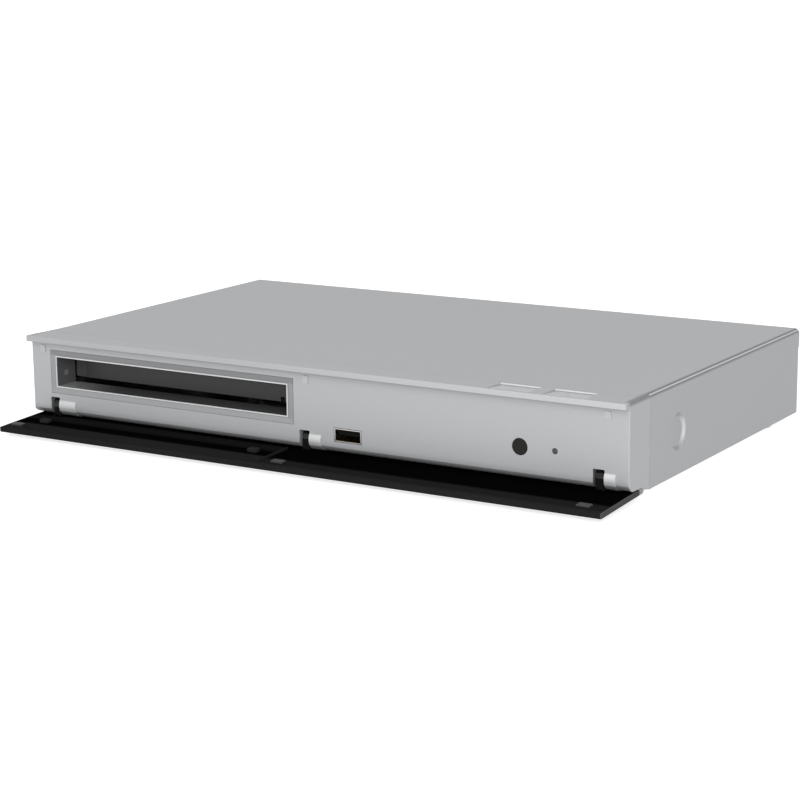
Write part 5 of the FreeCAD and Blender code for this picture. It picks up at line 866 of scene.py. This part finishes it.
# A spring runs forward in even steps, dips by a part of a sine wave and rises by the step's cube
def placeSprings(name, facts):
    xs, low, high = contactPlaces(facts)
    step = np.linspace(0, 1, facts["points"])
    pathY = high[1] + facts["back"] - facts["length"] * step
    dip = facts["dip"] * np.sin(step * np.pi * facts["dipTurn"])
    pathZ = low[2] + facts["up"] - dip + facts["rise"] * step ** 3
    wires = wireRow(name, xs, np.stack([pathY, pathZ], axis=-1), facts["radius"])
    settle(wires, contactGold)


placeStrips("usb_contacts", usbStrips)
placeSprings("lan_contacts", lanSprings)
placeStrips("hdmi_contacts", hdmiStrips)
print("contacts placed")

# Blank rating plate on the rear wall, in mm: rounded film with a faint frame, one rule and no text
plate = {"width": 44.0, "height": 21.0, "thickness": 0.18, "middleX": -15.0, "middleZ": 21.0, "corner": 1.6,
         "sides": 48, "edgeShare": 0.6, "topShare": 0.997, "film": (0.46, 0.46, 0.465),
         "frame": (0.16, 0.16, 0.165), "frameInset": (1.5, 1.8), "frameFade": 0.08,
         "ruleAt": 12.0, "ruleHalf": 0.00012, "ruleFade": 0.00006}


# The outline is a rounded block's, upright: half the side less the corner radius, signed by its
# quadrant, plus the corner radius turned by its angle. The last of three rings is a little smaller.
def ratingPlate(facts):
    c, s = quadrants(facts["sides"])
    corner, rearY = facts["corner"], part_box("rear_panel")[1][1] / mm
    x = -np.sign(c) * (facts["width"] / 2 - corner) - corner * c
    z = np.sign(s) * (facts["height"] / 2 - corner) + corner * s
    shrink = np.array([1.0, 1.0, facts["topShare"]])[:, None]
    levels = rearY + np.array([0.0, facts["edgeShare"], 1.0])[:, None] * facts["thickness"]
    rings = np.stack([facts["middleX"] + x * shrink, np.broadcast_to(levels, (3, facts["sides"])),
                      facts["middleZ"] + z * shrink], axis=-1) * mm
    return meshPiece("blank_rating_plate", rings, ringFaces(3, facts["sides"]))


def finishPlate(facts):
    made, flow, shader, place = newMaterial("blankRatingFilm")
    x, z = axesOf(flow, place)[::2]
    across = abs(x - facts["middleX"] * mm) * (1 / mm)
    tall = abs(z - facts["middleZ"] * mm) * (1 / mm)
    fade, halfWide, halfTall = facts["frameFade"], facts["width"] / 2, facts["height"] / 2
    inner, core = (across.below(halfWide - inset, fade) * tall.below(halfTall - inset, fade)
                   for inset in facts["frameInset"])
    rule = abs(x - (facts["middleX"] + facts["ruleAt"]) * mm).below(facts["ruleHalf"], facts["ruleFade"])
    lines = either(flow, inner - core, rule * core)
    dress(flow, shader, place, {"rough": 0.42, "drift": 0.04, "specks": 0.03, "grain": 0.03},
          lines.blend(facts["film"], facts["frame"]))
    return made


settle(ratingPlate(plate), finishPlate(plate))
print("rating plate placed")

# Small parts on the boards, in mm, in loose rows by a fixed seed: how many places each board has for
# them, and the nodes that they keep off. A part as high as a chip is black, a lower one is tinned.
boardRows = {"main_board": (110, ("heat_sink", "hdmi_socket", "lan_socket", "optical_socket",
                                  "power_harness")),
             "power_board": (40, ("transformer", "capacitors", "mains_inlet", "power_harness"))}
boardParts = {"seed": 7, "margin": 3.5, "inset": 4.0, "stray": 1.0, "chipHeight": 0.9}
partBlack = plainFinish("smallPartBlack", blackLook)
partTin = plainFinish("smallPartTin", dict(socketLook, colour=(0.60, 0.60, 0.59), rough=0.4))
partSizes = np.array([(5.0, 4.0, 1.0), (3.9, 3.0, 1.1), (7.0, 7.0, 0.9), (2.0, 1.2, 0.6),
                      (1.6, 0.8, 0.5), (2.0, 1.2, 0.6), (3.2, 1.6, 0.6)])


def scatter(board, count, taken):
    draw = np.random.default_rng(boardParts["seed"])
    low, high = inMm(board)
    wide, deep = high[0] - low[0], high[1] - low[1]
    columns = math.ceil(math.sqrt(count * wide / deep))
    lines = math.ceil(count / columns)
    gridX, gridY = np.meshgrid((np.arange(columns) + 0.5) / columns, (np.arange(lines) + 0.5) / lines)
    total = gridX.size
    inset, stray = boardParts["inset"], boardParts["stray"]
    x = low[0] + inset + gridX.ravel() * (wide - 2 * inset) + draw.uniform(-stray, stray, total)
    y = low[1] + inset + gridY.ravel() * (deep - 2 * inset) + draw.uniform(-stray, stray, total)
    sizes = partSizes[draw.integers(0, len(partSizes), total)]
    rows = np.column_stack([x, y, np.full(total, high[2]), sizes])
    keep = np.ones(total, dtype=bool)
    margin = boardParts["margin"]
    for node in taken:
        low, high = inMm(node)
        inX = (x > low[0] - margin) & (x < high[0] + margin)
        inY = (y > low[1] - margin) & (y < high[1] + margin)
        keep &= ~(inX & inY)
    return rows[keep]


for board, (count, taken) in boardRows.items():
    rows = scatter(board, count, taken)
    dark = rows[:, 5] >= boardParts["chipHeight"]
    settle(blockField(board + "_chips", rows[dark], corner=0.25, bevel=0.12), partBlack)
    settle(blockField(board + "_passives", rows[~dark], corner=0.12, bevel=0.06), partTin)
print("small board parts placed")

# Floor and light. Seen by the camera or in a reflection the floor is nearly white, and the object's
# shadow stays on it, because the plain matt floor is only brightened there and not replaced.
studio = {"floor": 0.62, "floorGlow": 0.76, "floorReach": 14.0, "drop": 0.0001, "sky": 0.60, "white": 1.0}


def seenDirectly(flow):
    return either(flow, *[flow.add("ShaderNodeLightPath", out=name) for name in
                          ("Is Camera Ray", "Is Glossy Ray", "Is Transmission Ray")])


def makeFloor():
    reach, drop = studio["floorReach"], studio["drop"]
    corners = [(x * reach, y * reach, -drop) for x, y in ((-1, -1), (1, -1), (1, 1), (-1, 1))]
    mesh = bpy.data.meshes.new("studio_floor")
    mesh.from_pydata(corners, [], [[0, 1, 2, 3]])
    made, flow, shader = newMaterial("studioFloor")[:3]
    fasten(flow, shader, "Base Color", (studio["floor"],) * 3)
    fasten(flow, shader, "Roughness", 1.0)
    fasten(flow, shader, "Specular IOR Level", 0.0)
    glow = flow.add("ShaderNodeEmission", None, {"Color": (1.0, 1.0, 1.0, 1.0),
                                                 "Strength": seenDirectly(flow) * studio["floorGlow"]})
    both = flow.add("ShaderNodeAddShader", None, {0: Flow(flow.tree, shader.outputs[0]), 1: glow})
    fasten(flow, flow.tree.nodes["Material Output"], "Surface", both)
    mesh.materials.append(made)
    intoScene("studio_floor", mesh)


def makeSky():
    world = bpy.data.worlds.new("studioSky")
    bpy.context.scene.world = world
    world.use_nodes = True
    flow = Flow(world.node_tree)
    back = world.node_tree.nodes["Background"]
    sky = studio["sky"]
    fasten(flow, back, "Color", (1.0, 1.0, 1.0))
    fasten(flow, back, "Strength", seenDirectly(flow) * (studio["white"] - sky) + sky)


# Each lamp: where it stands, what it faces, its size and its power
lamps = {"overheadLamp": {"at": (-0.35, 0.10, 1.55), "to": (0.0, 0.0, 0.0), "size": 1.3, "watts": 1.2},
         "frontRightLamp": {"at": (0.66, -1.20, 0.55), "to": (0.0, 0.0, 0.02), "size": 1.2, "watts": 13.3},
         "rightLamp": {"at": (1.7, 0.3, 0.5), "to": (0.0, 0.0, 0.02), "size": 0.9, "watts": 0.6}}


def makeLamp(name, facts):
    data = bpy.data.lights.new(name, "AREA")
    data.shape = "SQUARE"
    data.size = facts["size"]
    data.energy = facts["watts"]
    at, to = Vector(facts["at"]), Vector(facts["to"])
    facing = (to - at).to_track_quat("-Z", "Y").to_matrix().to_4x4()
    intoScene(name, data).matrix_world = Matrix.Translation(at) @ facing


makeFloor()
makeSky()
for name, facts in lamps.items():
    makeLamp(name, facts)
bpy.context.scene.view_settings.view_transform = "Standard"

# The camera, at the photograph's angle: turned from the front, raised and slightly rolled
cameraFacts = {"at": (0.5247, -0.853894, 0.2333), "azimuth": 31.62, "elevation": 12.37, "roll": -0.614,
               "lens": 95.78, "sensor": 36.0, "near": 0.01}


def makeCamera(facts):
    turn, rise, roll = (math.radians(facts[key]) for key in ("azimuth", "elevation", "roll"))
    back = Vector((math.sin(turn) * math.cos(rise), -math.cos(turn) * math.cos(rise), math.sin(rise)))
    right = (-back).cross(Vector((0.0, 0.0, 1.0))).normalized()
    up = right.cross(-back)
    across = math.cos(roll) * right + math.sin(roll) * up
    upright = -math.sin(roll) * right + math.cos(roll) * up
    data = bpy.data.cameras.new("viewCamera")
    data.sensor_width = facts["sensor"]
    data.lens = facts["lens"]
    data.clip_start = facts["near"]
    camera = intoScene("viewCamera", data)
    turnTo = Matrix((across, upright, back)).transposed()
    camera.matrix_world = Matrix.Translation(Vector(facts["at"])) @ turnTo.to_4x4()
    bpy.context.scene.camera = camera


makeCamera(cameraFacts)
print("stage, lamps and camera ready")
